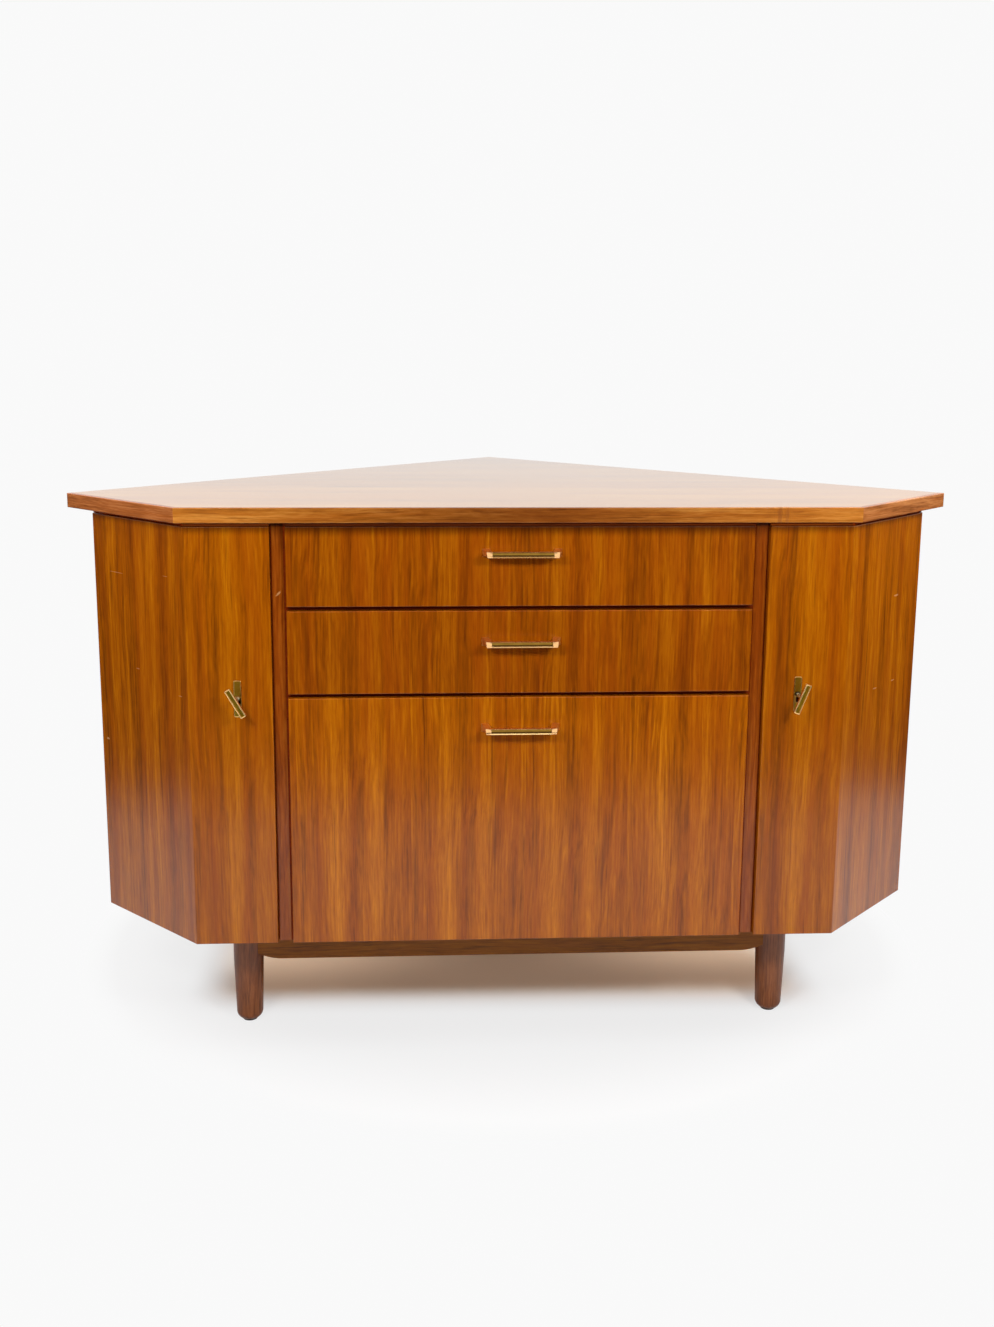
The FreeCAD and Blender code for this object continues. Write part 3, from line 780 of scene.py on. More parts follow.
# fillet tones are painted shade: each kind of gap gets the tone of the shade it shows, lighter above the
# doors and sides
TEAK_FILLET = replace(
    BEECH_STAINED, name="teak_fillet", slot="teak_solid",
    **wood_tones((56, 17, 2), (82, 29, 3), (102, 42, 8)), specular=0.08)
TEAK_FILLET_PALE = replace(
    TEAK_FILLET, name="teak_fillet_pale", **wood_tones((80, 30, 3), (108, 44, 5), (124, 56, 10)))
TEAK_FILLET_SIDE = replace(
    TEAK_FILLET, name="teak_fillet_side", **wood_tones((125, 42, 1), (168, 61, 2), (190, 76, 5)),
    specular=0.04)
TEAK_BEAD = replace(TEAK_FILLET, name="teak_bead", **wood_tones((90, 26, 1), (118, 38, 2), (134, 50, 6)))
PLYWOOD_BOTTOM = replace(
    BEECH_ACROSS, name="plywood_bottom", **wood_tones((190, 148, 100), (220, 184, 136), (232, 202, 158)),
    bands=12.0, streaks=40.0, roughness=0.55)
PLYWOOD_BACK = replace(
    PLYWOOD_BOTTOM, name="plywood_back", slot="back_board",
    **wood_tones((140, 92, 52), (176, 126, 78), (196, 150, 100)), vein=screen(128, 82, 46),
    tint=screen(172, 116, 70), run=GrainRun.UPRIGHT, roughness=0.6)


def brass(name: str, bright: Triple, aged: Triple, roughness: float = 0.26, tarnish: float = 0.25,
          bump: float = 0.01) -> MetalFinish:
    """Brass of one colour.

    Args:
        name: Name of the finish.
        bright: Its colour where it shines.
        aged: Its colour where it has darkened.
        roughness: Dullness of its polish.
        tarnish: How far it has darkened.
        bump: Strength of its fine relief.

    Returns:
        The finish, in the slot of the brass pieces.
    """
    return MetalFinish(name, "brass", bright, aged, roughness, tarnish, bump=bump)


BRASS = brass("brass", (0.92, 0.53, 0.23), (0.80, 0.45, 0.16))
# painted sheen and shade on the pulls' lower rims: a darker rim on the upper drawer, a brighter one on the
# lower drawer
BRASS_RIMS_PAINTED_SHEEN = {
    "upper_drawer": brass("brass_upper_rim", (0.42, 0.23, 0.08), (0.36, 0.19, 0.06)),
    "middle_drawer": brass("brass_middle_rim", (0.62, 0.38, 0.16), (0.53, 0.32, 0.12)),
    "lower_drawer": brass("brass_lower_rim", (1.0, 0.70, 0.30), (0.94, 0.64, 0.25)),
}
BRASS_POST = brass("brass_post", (1.0, 0.66, 0.22), (0.9, 0.58, 0.18), 0.42)
BRASS_KEY = brass("brass_key", (1.0, 0.68, 0.28), (0.92, 0.57, 0.19), 0.24)
BRASS_PLATE_RIM = brass("brass_plate_rim", (0.80, 0.50, 0.14), (0.68, 0.41, 0.10))
BRASS_PLATE = brass("brass_plate", (0.42, 0.265, 0.02), (0.30, 0.18, 0.012), 0.34, 0.5, 0.05)
BRASS_GROOVE = brass("brass_groove", (0.35, 0.19, 0.03), (0.25, 0.135, 0.02), 0.34, 0.4, 0.05)
BRASS_SHADED = brass("brass_shaded", (0.11, 0.057, 0.010), (0.075, 0.038, 0.007), 0.4, 0.4, 0.05)
BRASS_DARK = brass("brass_dark", (0.66, 0.56, 0.33), (0.36, 0.29, 0.14), 0.22, 0.6, 0.05)
STEEL = MetalFinish("lock_steel", "lock_steel", (0.42, 0.41, 0.39), (0.2, 0.18, 0.15), 0.34, 0.6)
GLIDE = MouldedFinish("glide_plastic", "glide", screen(52, 48, 44), screen(74, 68, 60))

DRAWERS = ("upper_drawer", "middle_drawer", "lower_drawer")
HANDS = {"left": -1.0, "right": 1.0}
NODE_FINISHES: tuple[tuple[Finish, tuple[str, ...]], ...] = (
    (TEAK_FRONTS, ("lower_drawer_front",)),
    (TEAK_SMALL_FRONTS, ("upper_drawer_front", "middle_drawer_front")),
    (TEAK_LEFT_SIDE, ("door_left_side_board",)),
    (TEAK_RIGHT_SIDE, ("door_right_side_board",)),
    (TEAK_LEFT_DOOR, ("door_left_front_board",)),
    (TEAK_RIGHT_DOOR, ("door_right_front_board",)),
    (TEAK_TOP, ("top_panel",)),
    (TEAK_INSIDE, ("partition_left", "partition_right")),
    (TEAK_FLAT, ("bottom_panel", "shelf_left", "shelf_right")),
    (TEAK_LIP, ("top_lip_front",)),
    (TEAK_LIP_LEFT, ("top_lip_left",)),
    (TEAK_LIP_RIGHT, ("top_lip_right",)),
    (TEAK_STILE, ("partition_lips",)),
    (TEAK_LEG, ("legs_front", "legs_rear")),
    (TEAK_RAIL, ("leg_rail_front", "leg_rail_rear")),
    (BEECH_DEPTH, ("drawer_runners", "shelf_cleats",
                   *(f"{drawer}_side_{hand}" for drawer in DRAWERS for hand in HANDS))),
    (BEECH_STAINED, ("top_rails",)),
    (BEECH_ACROSS, tuple(f"{drawer}_back" for drawer in DRAWERS)),
    (BEECH_UPRIGHT, ("hinge_jambs", "apex_post")),
    (PLYWOOD_BOTTOM, tuple(f"{drawer}_bottom" for drawer in DRAWERS)),
    (PLYWOOD_BACK, ("back_panel_left", "back_panel_right")),
    (BRASS, ("jamb_hinge_leaves", "strikes", "key_left", "key_right",
             *(f"door_{hand}_{piece}" for hand in HANDS for piece in ("hinge_leaves", "escutcheon")),
             *(f"{drawer}_pull" for drawer in DRAWERS))),
    (STEEL, tuple(name for hand in HANDS for name in (f"door_{hand}_lock_case", f"bolt_{hand}"))),
    (GLIDE, ("glides",)),
)


class Wardrobe:
    """Holds one material for each finish and puts it on pieces."""

    def __init__(self) -> None:
        """Build the shared effects."""
        self.groups = EffectGroups()
        self.made: dict[str, bpy.types.Material] = {}

    def material(self, finish: Finish) -> bpy.types.Material:
        """Build a finish's material the first time it is asked for, and keep it.

        Args:
            finish: The finish.

        Returns:
            Its material.
        """
        if finish.name not in self.made:
            self.made[finish.name] = finish.material(self.groups)
        return self.made[finish.name]

    def dress(self, piece: bpy.types.Object, *finishes: Finish) -> None:
        """Give a piece its finish, and further ones for its marked faces."""
        for finish in finishes:
            piece.data.materials.append(self.material(finish))

    def dress_nodes(self, nodes: dict[str, bpy.types.Object]) -> None:
        """Give every solid of the frame its finish.

        Args:
            nodes: The frame's solids by name.
        """
        left = set(nodes)
        for finish, names in NODE_FINISHES:
            for name in names:
                nodes[name].data.materials.clear()
                self.dress(nodes[name], finish)
                left.discard(name)
        if left:
            raise ValueError(f"no finish for {sorted(left)}")


class Axis(IntEnum):
    """Axes that cuts are square to."""

    X = 0
    Z = 2


class Shaping:
    """A mesh in the making, and the few moves that the fittings share."""

    def __init__(self) -> None:
        """Start with an empty mesh."""
        self.mesh = bmesh.new()

    def block(self, size: Vector, middle: Vector) -> None:
        """Add a block.

        Args:
            size: Its length along each axis.
            middle: Where its middle is.
        """
        corners = bmesh.ops.create_cube(self.mesh, size=1.0)["verts"]
        bmesh.ops.scale(self.mesh, vec=size, verts=corners)
        bmesh.ops.translate(self.mesh, vec=middle, verts=corners)

    def score(self, axis: Axis, at: float) -> None:
        """Cut a line round the whole mesh.

        Args:
            axis: Axis that the cut is square to.
            at: Where the cut is on that axis.
        """
        point, normal = Vector(), Vector()
        point[axis], normal[axis] = at, 1.0
        parts = [*self.mesh.verts, *self.mesh.edges, *self.mesh.faces]
        bmesh.ops.bisect_plane(self.mesh, geom=parts, plane_co=point, plane_no=normal)

    def facing(self, way: Vector) -> list[bmesh.types.BMFace]:
        """Faces that look one way."""
        return [face for face in self.mesh.faces if face.normal.dot(way) > FACING]

    def push(self, faces: list[bmesh.types.BMFace], way: Vector,
             keep: bool = False) -> list[bmesh.types.BMVert]:
        """Draw faces out or in, with walls behind them.

        Args:
            faces: Faces that move together.
            way: How far they move.
            keep: Whether the faces also stay where they were.

        Returns:
            The moved vertices.
        """
        grown = bmesh.ops.extrude_face_region(self.mesh, geom=faces)["geom"]
        moved = [part for part in grown if isinstance(part, bmesh.types.BMVert)]
        if not keep:
            old = [face for face in faces if face.is_valid]
            bmesh.ops.delete(self.mesh, geom=old, context="FACES_ONLY")
        bmesh.ops.translate(self.mesh, vec=way, verts=moved)
        return moved

    def take_in(self, other: "Shaping") -> None:
        """Add another mesh to this one and free it.

        Args:
            other: The other mesh.
        """
        held = bpy.data.meshes.new("held")
        other.mesh.to_mesh(held)
        other.mesh.free()
        self.mesh.from_mesh(held)
        bpy.data.meshes.remove(held)

    def round_off(self, edges: list[bmesh.types.BMEdge], width: float, segments: int) -> None:
        """Round some edges.

        Args:
            edges: The edges.
            width: Width of the rounding.
            segments: Faces across it.
        """
        bmesh.ops.bevel(self.mesh, geom=edges, offset=width, offset_type="OFFSET", segments=segments,
                        profile=0.5, affect="EDGES", material=-1, clamp_overlap=True)

    def soften(self, width: float, segments: int, least: float) -> None:
        """Round every edge sharper than an angle.

        Args:
            width: Width of the rounding.
            segments: Faces across it.
            least: Smallest angle that is rounded, in radians.
        """
        sharp = [edge for edge in self.mesh.edges
                 if len(edge.link_faces) == 2 and edge.calc_face_angle() > least]
        self.round_off(sharp, width, segments)

    def weld(self) -> None:
        """Merge doubled corners and turn every face outward."""
        bmesh.ops.remove_doubles(self.mesh, verts=self.mesh.verts, dist=WELD)
        bmesh.ops.recalc_face_normals(self.mesh, faces=self.mesh.faces)

    def finish(self, name: str) -> bpy.types.Object:
        """Turn the mesh into a smooth-shaded object at the origin.

        Args:
            name: Name of the piece.

        Returns:
            The object, linked into the scene.
        """
        self.weld()
        data = bpy.data.meshes.new(name)
        self.mesh.to_mesh(data)
        self.mesh.free()
        data.polygons.foreach_set("use_smooth", [True] * len(data.polygons))
        data.set_sharp_from_angle(angle=SMOOTH_ANGLE)
        piece = bpy.data.objects.new(name, data)
        bpy.context.scene.collection.objects.link(piece)
        flat = piece.modifiers.new("flat_faces", "WEIGHTED_NORMAL")
        flat.keep_sharp = True
        return piece


def seat(piece: bpy.types.Object, wardrobe: Wardrobe, finish: Finish, body: str,
         stands_for: Sequence[str] = (), marked: Sequence[Finish] = ()) -> None:
    """Dress a new piece and let it ride on a body.

    Args:
        piece: The piece, in its place.
        wardrobe: Where its material comes from.
        finish: Its finish.
        body: The body that it moves with.
        stands_for: Solids that it takes the place of.
        marked: Finishes of its marked faces, in their order.
    """
    wardrobe.dress(piece, finish, *marked)
    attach(piece, body)
    if stands_for:
        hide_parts(*stands_for)
    LOG.info("%s rides on %s", piece.name, body)


class Fitting:
    """Small pieces that are built on the frame."""

    def fit(self, wardrobe: Wardrobe) -> None:
        """Build the pieces and put them in their place.

        Args:
            wardrobe: Where their materials come from.
        """
        raise NotImplementedError


class PullFace(IntEnum):
    """Faces of a pull with a finish of their own, numbered as in the list of its finishes."""

    TROUGH_TOP = 1
    TROUGH_FOOT = 2
    LOWER_RIM = 3
    POST = 4


@dataclass
class Pull(Fitting):
    """Drawer pull: a channelled brass bar on two posts that splay out to the drawer front."""

    drawer: str
    length: float = 0.098
    bar_height: float = 0.008
    bar_depth: float = 0.007
    end: float = 0.007
    lower_rim: float = 0.0021
    upper_rim: float = 0.0007
    channel: float = 0.0022
    groove_line: float = 0.0018
    splay: float = 0.006
    foot_width: float = 0.010
    foot_height: float = 0.011
    flare: float = 0.0012
    lean: float = 0.0024
    tuck: float = 0.0005
    turned_back: float = 0.0022
    turned_low: float = 0.35
    edge: float = 0.0005
    edge_segments: int = 2
    edge_least: float = 0.6
    post_steps: tuple[float, ...] = (0.3, 0.62, 0.86, 1.0)

    def fit(self, wardrobe: Wardrobe) -> None:
        """Build the pull and put it on its drawer."""
        seat(self.build(), wardrobe, BRASS, self.drawer, [f"{self.drawer}_pull"],
             # the lower rim's tone is painted sheen for this drawer
             [BRASS_GROOVE, BRASS_SHADED, BRASS_RIMS_PAINTED_SHEEN[self.drawer], BRASS_POST])

    def build(self) -> bpy.types.Object:
        """Shape the pull from one block.

        Returns:
            The pull, on its drawer's front.
        """
        low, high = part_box(f"{self.drawer}_pull")
        middle = (low + high) / 2
        inner = self.length / 2 - self.end
        bar_low = middle.z - self.bar_height / 2
        bar_back = low.y + self.bar_depth
        rim_top = bar_low + self.lower_rim
        line = rim_top + self.groove_line
        trough_top = middle.z + self.bar_height / 2 - self.upper_rim
        shape = Shaping()
        shape.block(Vector((self.length, self.bar_depth, self.bar_height)),
                    Vector((middle.x, low.y + self.bar_depth / 2, middle.z)))
        for x in (middle.x - inner, middle.x + inner):
            shape.score(Axis.X, x)
        for z in (rim_top, line, trough_top):
            shape.score(Axis.Z, z)
        trough = [face for face in shape.facing(FRONT)
                  if abs(face.calc_center_median().x - middle.x) < inner
                  and rim_top < face.calc_center_median().z < trough_top]
        shape.push(trough, Vector((0, self.channel, 0)))
        for face in shape.facing(FRONT):
            spot = face.calc_center_median()
            if spot.y > low.y + self.channel / 2:
                face.material_index = PullFace.TROUGH_TOP if spot.z > line else PullFace.TROUGH_FOOT
            elif spot.z < line and abs(spot.x - middle.x) < inner:
                face.material_index = PullFace.LOWER_RIM
        for hand in HANDS.values():
            self.grow_post(shape, middle, bar_back, high.y, hand)
        for face in shape.mesh.faces:
            if face.calc_center_median().y > bar_back + TOUCH:
                face.material_index = PullFace.POST
        self.lean_back(shape, middle, low.y + self.channel, bar_low)
        shape.soften(self.edge, self.edge_segments, self.edge_least)
        return shape.finish(f"{self.drawer}_brass_pull")

    def grow_post(self, shape: Shaping, middle: Vector, bar_back: float, wall: float, hand: float) -> None:
        """Draw one post back from the bar's end to the drawer front.

        Args:
            shape: The bar.
            middle: The pull's middle.
            bar_back: Where the bar's back is.
            wall: Where the drawer front is.
            hand: -1 for the left post, 1 for the right one.
        """
        half = self.length / 2
        faces = [face for face in shape.facing(-FRONT)
                 if hand * (face.calc_center_median().x - middle.x) > half - self.end]
        start = middle.x + hand * (half - self.end / 2)
        goal = middle.x + hand * (half + self.splay - self.foot_width / 2)
        done, width, height = 0.0, self.end, self.bar_height
        for share in self.post_steps:
            moved = shape.push(faces, Vector((0, (wall - bar_back) * (share - done), 0)))
            bend = share * share
            new_width = self.end + (self.foot_width - self.end) * bend
            new_height = self.bar_height + (self.foot_height - self.bar_height) * bend
            centre = sum((vertex.co for vertex in moved), Vector()) / len(moved)
            bmesh.ops.scale(shape.mesh, vec=(new_width / width, 1.0, new_height / height),
                            space=Matrix.Translation(-centre), verts=moved)
            aside = start + (goal - start) * bend - centre.x
            bmesh.ops.translate(shape.mesh, vec=(aside, 0, 0), verts=moved)
            done, width, height = share, new_width, new_height
            held = set(moved)
            faces = [face for face in shape.mesh.faces if held.issuperset(face.verts)]

    def lean_back(self, shape: Shaping, middle: Vector, deepest: float, bar_low: float) -> None:
        """Lean the bar's front back to its top, tuck its lower edge in and turn its ends back.

        Args:
            shape: The bar on its posts.
            middle: The pull's middle.
            deepest: Where the trough's floor is.
            bar_low: Underside of the bar.
        """
        for vertex in [vertex for vertex in shape.mesh.verts if vertex.co.y < deepest + TOUCH]:
            lift = (vertex.co.z - bar_low) / self.bar_height
            vertex.co.y += self.lean * max(0.0, lift - self.lower_rim / self.bar_height)
            vertex.co.y += self.tuck * (vertex.co.z < bar_low + TOUCH)
            if abs(vertex.co.x - middle.x) > self.length / 2 - TOUCH:
                vertex.co.x += math.copysign(self.flare * lift, vertex.co.x - middle.x)
                vertex.co.y += self.turned_back * (self.turned_low + (1 - self.turned_low) * lift)


@dataclass
class DoorKey(Fitting):
    """Key in a door: a channelled brass bow on a darker shaft."""

    hand: str
    bow: Triple = (0.0080, 0.006, 0.044)
    rim: float = 0.0014
    rim_drop: float = 0.0007
    channel: float = 0.0030
    tilts: dict[str, float] = field(
        default_factory=lambda: {"left": math.radians(-30.0), "right": math.radians(21.0)})
    neck_radius: float = 0.0030
    neck_length: float = 0.008
    shaft_radius: float = 0.0026
    bit: Triple = (0.0095, 0.006, 0.003)
    bit_setback: float = 0.007
    edge: float = 0.0004
    edge_segments: int = 3
    edge_least: float = 0.3
    segments: int = 40

    def fit(self, wardrobe: Wardrobe) -> None:
        """Build the key and put it in its lock.

        Args:
            wardrobe: Where the materials come from.
        """
        body = f"key_{self.hand}"
        seat(self.build_bow(), wardrobe, BRASS_KEY, body, [body], [BRASS_PLATE])
        seat(self.build_shaft(), wardrobe, BRASS_DARK, body)

    def build_bow(self) -> bpy.types.Object:
        """Shape the bow from one block, with a tray in its front.

        Returns:
            The bow, in front of the door.
        """
        low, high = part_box(f"key_{self.hand}")
        middle = (low + high) / 2
        wide, deep, tall = self.bow
        bow = Shaping()
        bow.block(Vector(self.bow), Vector((middle.x, low.y + deep / 2, middle.z)))
        for axis, size in ((Axis.X, wide), (Axis.Z, tall)):
            for away in (size / 2 - self.rim, self.rim - size / 2):
                bow.score(axis, middle[axis] + away)
        tray = [face for face in bow.facing(FRONT)
                if abs(face.calc_center_median().x - middle.x) < wide / 2 - self.rim
                and abs(face.calc_center_median().z - middle.z) < tall / 2 - self.rim]
        bow.push(tray, Vector((0, self.channel, 0)))
        for face in bow.facing(FRONT):
            face.material_index = int(face.calc_center_median().y > low.y + self.channel / 2)
        for vertex in bow.mesh.verts:
            inside = (abs(vertex.co.x - middle.x) < wide / 2 - self.rim / 2
                      and abs(vertex.co.z - middle.z) < tall / 2 - self.rim / 2)
            vertex.co.y += self.rim_drop * (vertex.co.y < low.y + TOUCH and not inside)
        bow.soften(self.edge, self.edge_segments, self.edge_least)
        turn = Matrix.Rotation(self.tilts[self.hand], 3, "Y")
        bmesh.ops.rotate(bow.mesh, cent=middle, matrix=turn, verts=bow.mesh.verts)
        return bow.finish(f"key_{self.hand}_bow")

    def build_shaft(self) -> bpy.types.Object:
        """Shape the shaft with its neck and bit.

        Returns:
            The shaft, in the lock.
        """
        low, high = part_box(f"key_{self.hand}")
        middle = (low + high) / 2
        neck = low.y + self.bow[1]
        neck_end = neck + self.neck_length
        shaft = Shaping()
        self.turned(shaft, self.neck_radius, self.shaft_radius, neck, neck_end, middle)
        self.turned(shaft, self.shaft_radius, self.shaft_radius, neck_end, high.y, middle)
        shaft.block(Vector(self.bit), Vector((middle.x + HANDS[self.hand] * self.bit[0] / 2,
                                              high.y - self.bit_setback, middle.z)))
        return shaft.finish(f"key_{self.hand}_shaft")

    def turned(self, shape: Shaping, near: float, far: float, start: float, end: float,
               middle: Vector) -> None:
        """Add a round length along y, from one radius to another.

        Args:
            shape: Mesh that it goes into.
            near: Radius at the start.
            far: Radius at the end.
            start: Where it starts on y.
            end: Where it ends on y.
            middle: The key's middle.
        """
        ring = bmesh.ops.create_cone(shape.mesh, cap_ends=True, segments=self.segments, radius1=near,
                                     radius2=far, depth=end - start)["verts"]
        bmesh.ops.rotate(shape.mesh, cent=Vector(), matrix=Matrix.Rotation(-math.pi / 2, 3, "X"), verts=ring)
        bmesh.ops.translate(shape.mesh, vec=(middle.x, (start + end) / 2, middle.z), verts=ring)


@dataclass
class KeyPlate(Fitting):
    """Escutcheon: the frame's plate with its front sloped off towards the edges."""

    hand: str
    slope: float = 0.0015
    drop: float = 0.0008
    hole_reach: Span = (0.0044, 0.0132)

    def fit(self, wardrobe: Wardrobe) -> None:
        """Build the plate and put it on its door.

        Args:
            wardrobe: Where the materials come from.
        """
        node = f"door_{self.hand}_escutcheon"
        low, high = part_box(node)
        middle = (low + high) / 2
        shape = Shaping()
        shape.mesh.from_mesh(frame["nodes"][node].data)
        shape.weld()
        bmesh.ops.dissolve_limit(shape.mesh, angle_limit=FLAT_ANGLE, verts=shape.mesh.verts,
                                 edges=shape.mesh.edges)
        plate = [face for face in shape.facing(FRONT) if face.calc_center_median().y < low.y + TOUCH]
        outline = {vertex for face in plate for vertex in face.verts
                   if abs(vertex.co.x - middle.x) > self.hole_reach[0]
                   or abs(vertex.co.z - middle.z) > self.hole_reach[1]}
        bmesh.ops.inset_region(shape.mesh, faces=plate, thickness=self.slope, use_boundary=True,
                               use_even_offset=True)
        for face in plate:
            face.material_index = 1
        for vertex in outline:
            vertex.co.y += self.drop
        seat(shape.finish(f"key_plate_{self.hand}"), wardrobe, BRASS_PLATE_RIM, f"door_{self.hand}", [node],
             [BRASS_PLATE])


@dataclass
class TurnedLegs(Fitting):
    """A pair of turned legs with rounded feet."""

    node: str
    foot_radius: float = 0.0195
    shoulder: float = 0.099
    foot_round: float = 0.0112
    foot_segments: int = 7
    steps: int = 64

    def fit(self, wardrobe: Wardrobe) -> None:
        """Build both legs and stand them under their rail.

        Args:
            wardrobe: Where the materials come from.
        """
        low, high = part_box(self.node)
        radius = (high.y - low.y) / 2
        shape = Shaping()
        for x in (low.x + radius, high.x - radius):
            self.turn_leg(shape, Vector((x, (low.y + high.y) / 2, 0)), low.z, high.z, radius)
        seat(shape.finish(f"turned_{self.node}"), wardrobe, TEAK_LEG, "carcass", [self.node])

    def turn_leg(self, shape: Shaping, foot: Vector, low: float, high: float, radius: float) -> None:
        """Spin one leg from its outline.

        Args:
            shape: Mesh that it goes into.
            foot: Its place on the floor.
            low: Underside of the foot.
            high: Top of the leg.
            radius: Radius of its upper part.
        """
        outline = ((0.0, low), (self.foot_radius, low), (radius, self.shoulder), (radius, high), (0.0, high))
        corners = [shape.mesh.verts.new(foot + Vector((out, 0, up))) for out, up in outline]
        edges = [shape.mesh.edges.new(pair) for pair in zip(corners, corners[1:])]
        bmesh.ops.spin(shape.mesh, geom=corners + edges, cent=foot, axis=(0, 0, 1), angle=2 * math.pi,
                       steps=self.steps, use_merge=True)
        shape.weld()
        ring = [edge for edge in shape.mesh.edges if len(edge.link_faces) == 2
                and all(self.on_rim(vertex.co - foot, low) for vertex in edge.verts)]
        shape.round_off(ring, self.foot_round, self.foot_segments)

    def on_rim(self, spot: Vector, low: float) -> bool:
        """Tell whether a place, measured from the leg's axis, lies on the sharp rim of the foot."""
        return abs(spot.z - low) < TOUCH and abs(spot.to_2d().length - self.foot_radius) < TOUCH


class FilletFace(IntEnum):
    """Kinds of fillet, numbered as in the list of their finishes."""

    ABOVE_DRAWER = 0
    ABOVE_DOOR = 1
    BEAD = 2
    ABOVE_SIDE = 3


@dataclass
class GapFillets(Fitting):
    """Dark fillets in the gaps under the top, between the drawers and beside the stiles, toned as painted
    shade.
    """

    setback: float = 0.0016
    depth: float = 0.010
    clearance: float = 0.0006
    end_gap: float = 0.0002
    stile_width: float = 0.016
    bead_setback: float = 0.0006

    def fit(self, wardrobe: Wardrobe) -> None:
        """Build the lengths and fix them in the gaps.

        Args:
            wardrobe: Where the materials come from.
        """
        drawer_low, drawer_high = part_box("upper_drawer_front")
        stile_low, stile_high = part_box("partition_lips")
        front = drawer_low.y
        under_top = (drawer_high.z + self.clearance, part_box("top_lip_front")[0].z)
        deep = (stile_low.y + self.bead_setback, stile_high.y - self.bead_setback)
        shape = Shaping()
        self.lay_strip(shape, (drawer_low.x, drawer_high.x),
                       (front + self.setback, front + self.setback + self.depth), under_top,
                       FilletFace.ABOVE_DRAWER)
        for above, below in zip(DRAWERS, DRAWERS[1:]):
            gap = (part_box(f"{below}_front")[1].z + self.clearance,
                   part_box(f"{above}_front")[0].z - self.clearance)
            self.lay_strip(shape, (drawer_low.x - self.clearance, drawer_high.x + self.clearance), deep, gap,
                           FilletFace.BEAD)
        for hand, sign in HANDS.items():
            inner = self.lay_door_length(shape, hand, front, under_top)
            for one, other in ((stile_high.x, inner - self.clearance),
                               (stile_high.x - self.stile_width, drawer_high.x + self.clearance)):
                self.lay_strip(shape, (sign * one, sign * other), deep, (stile_low.z, stile_high.z),
                               FilletFace.BEAD)
        # each kind of fillet takes its own tone of painted shade
        seat(shape.finish("gap_fillets"), wardrobe, TEAK_FILLET, "carcass", (),
             [TEAK_FILLET_PALE, TEAK_BEAD, TEAK_FILLET_SIDE])

    def lay_door_length(self, shape: Shaping, hand: str, front: float, up: Span) -> float:
        """Add the length above one door, which turns the corner with it.

        Args:
            shape: Mesh that it goes into.
            hand: Which door.
            front: Where the fronts are.
            up: Its underside and its upper side.

        Returns:
            How far from the middle the door's inner edge is.
        """
        board_low, board_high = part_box(f"door_{hand}_front_board")
        side_low, side_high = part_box(f"door_{hand}_side_board")
        corner, inner = sorted((abs(board_low.x), abs(board_high.x)), reverse=True)
        reach = max(abs(side_low.x), abs(side_high.x)) - corner - self.end_gap
        near, far = self.setback, self.setback + self.depth
        turn = math.sqrt(0.5)
        bends = {step: (corner - step * math.tan(math.pi / 8), front + step) for step in (near, far)}
        ends = {step: (corner + reach - step * turn, front + reach + step * turn) for step in (near, far)}
        outline = [(inner, front + near), (inner, front + far), bends[far], ends[far], ends[near],
                   bends[near]]
        self.lay(shape, [(HANDS[hand] * x, y) for x, y in outline], up, FilletFace.ABOVE_DOOR)
        for face in shape.mesh.faces:
            if face.material_index == FilletFace.ABOVE_DOOR and abs(face.calc_center_median().x) > corner:
                face.material_index = FilletFace.ABOVE_SIDE
        return inner

    def lay_strip(self, shape: Shaping, across: Span, deep: Span, up: Span, kind: FilletFace) -> None:
        """Add one straight length.

        Args:
            shape: Mesh that it goes into.
            across: Where its ends are on x.
            deep: Where its front and back are on y.
            up: Its underside and its upper side.
            kind: Kind of fillet.
        """
        outline = [(across[0], deep[0]), (across[1], deep[0]), (across[1], deep[1]), (across[0], deep[1])]
        self.lay(shape, outline, up, kind)

    @staticmethod
    def lay(shape: Shaping, outline: list[Span], up: Span, kind: FilletFace) -> None:
        """Add one length from its outline in plan.

        Args:
            shape: Mesh that it goes into.
            outline: Its corners in plan.
            up: Its underside and its upper side.
            kind: Kind of fillet.
        """
        foot = shape.mesh.faces.new([shape.mesh.verts.new((x, y, up[0])) for x, y in outline])
        foot.material_index = kind
        shape.push([foot], Vector((0, 0, up[1] - up[0])), keep=True)


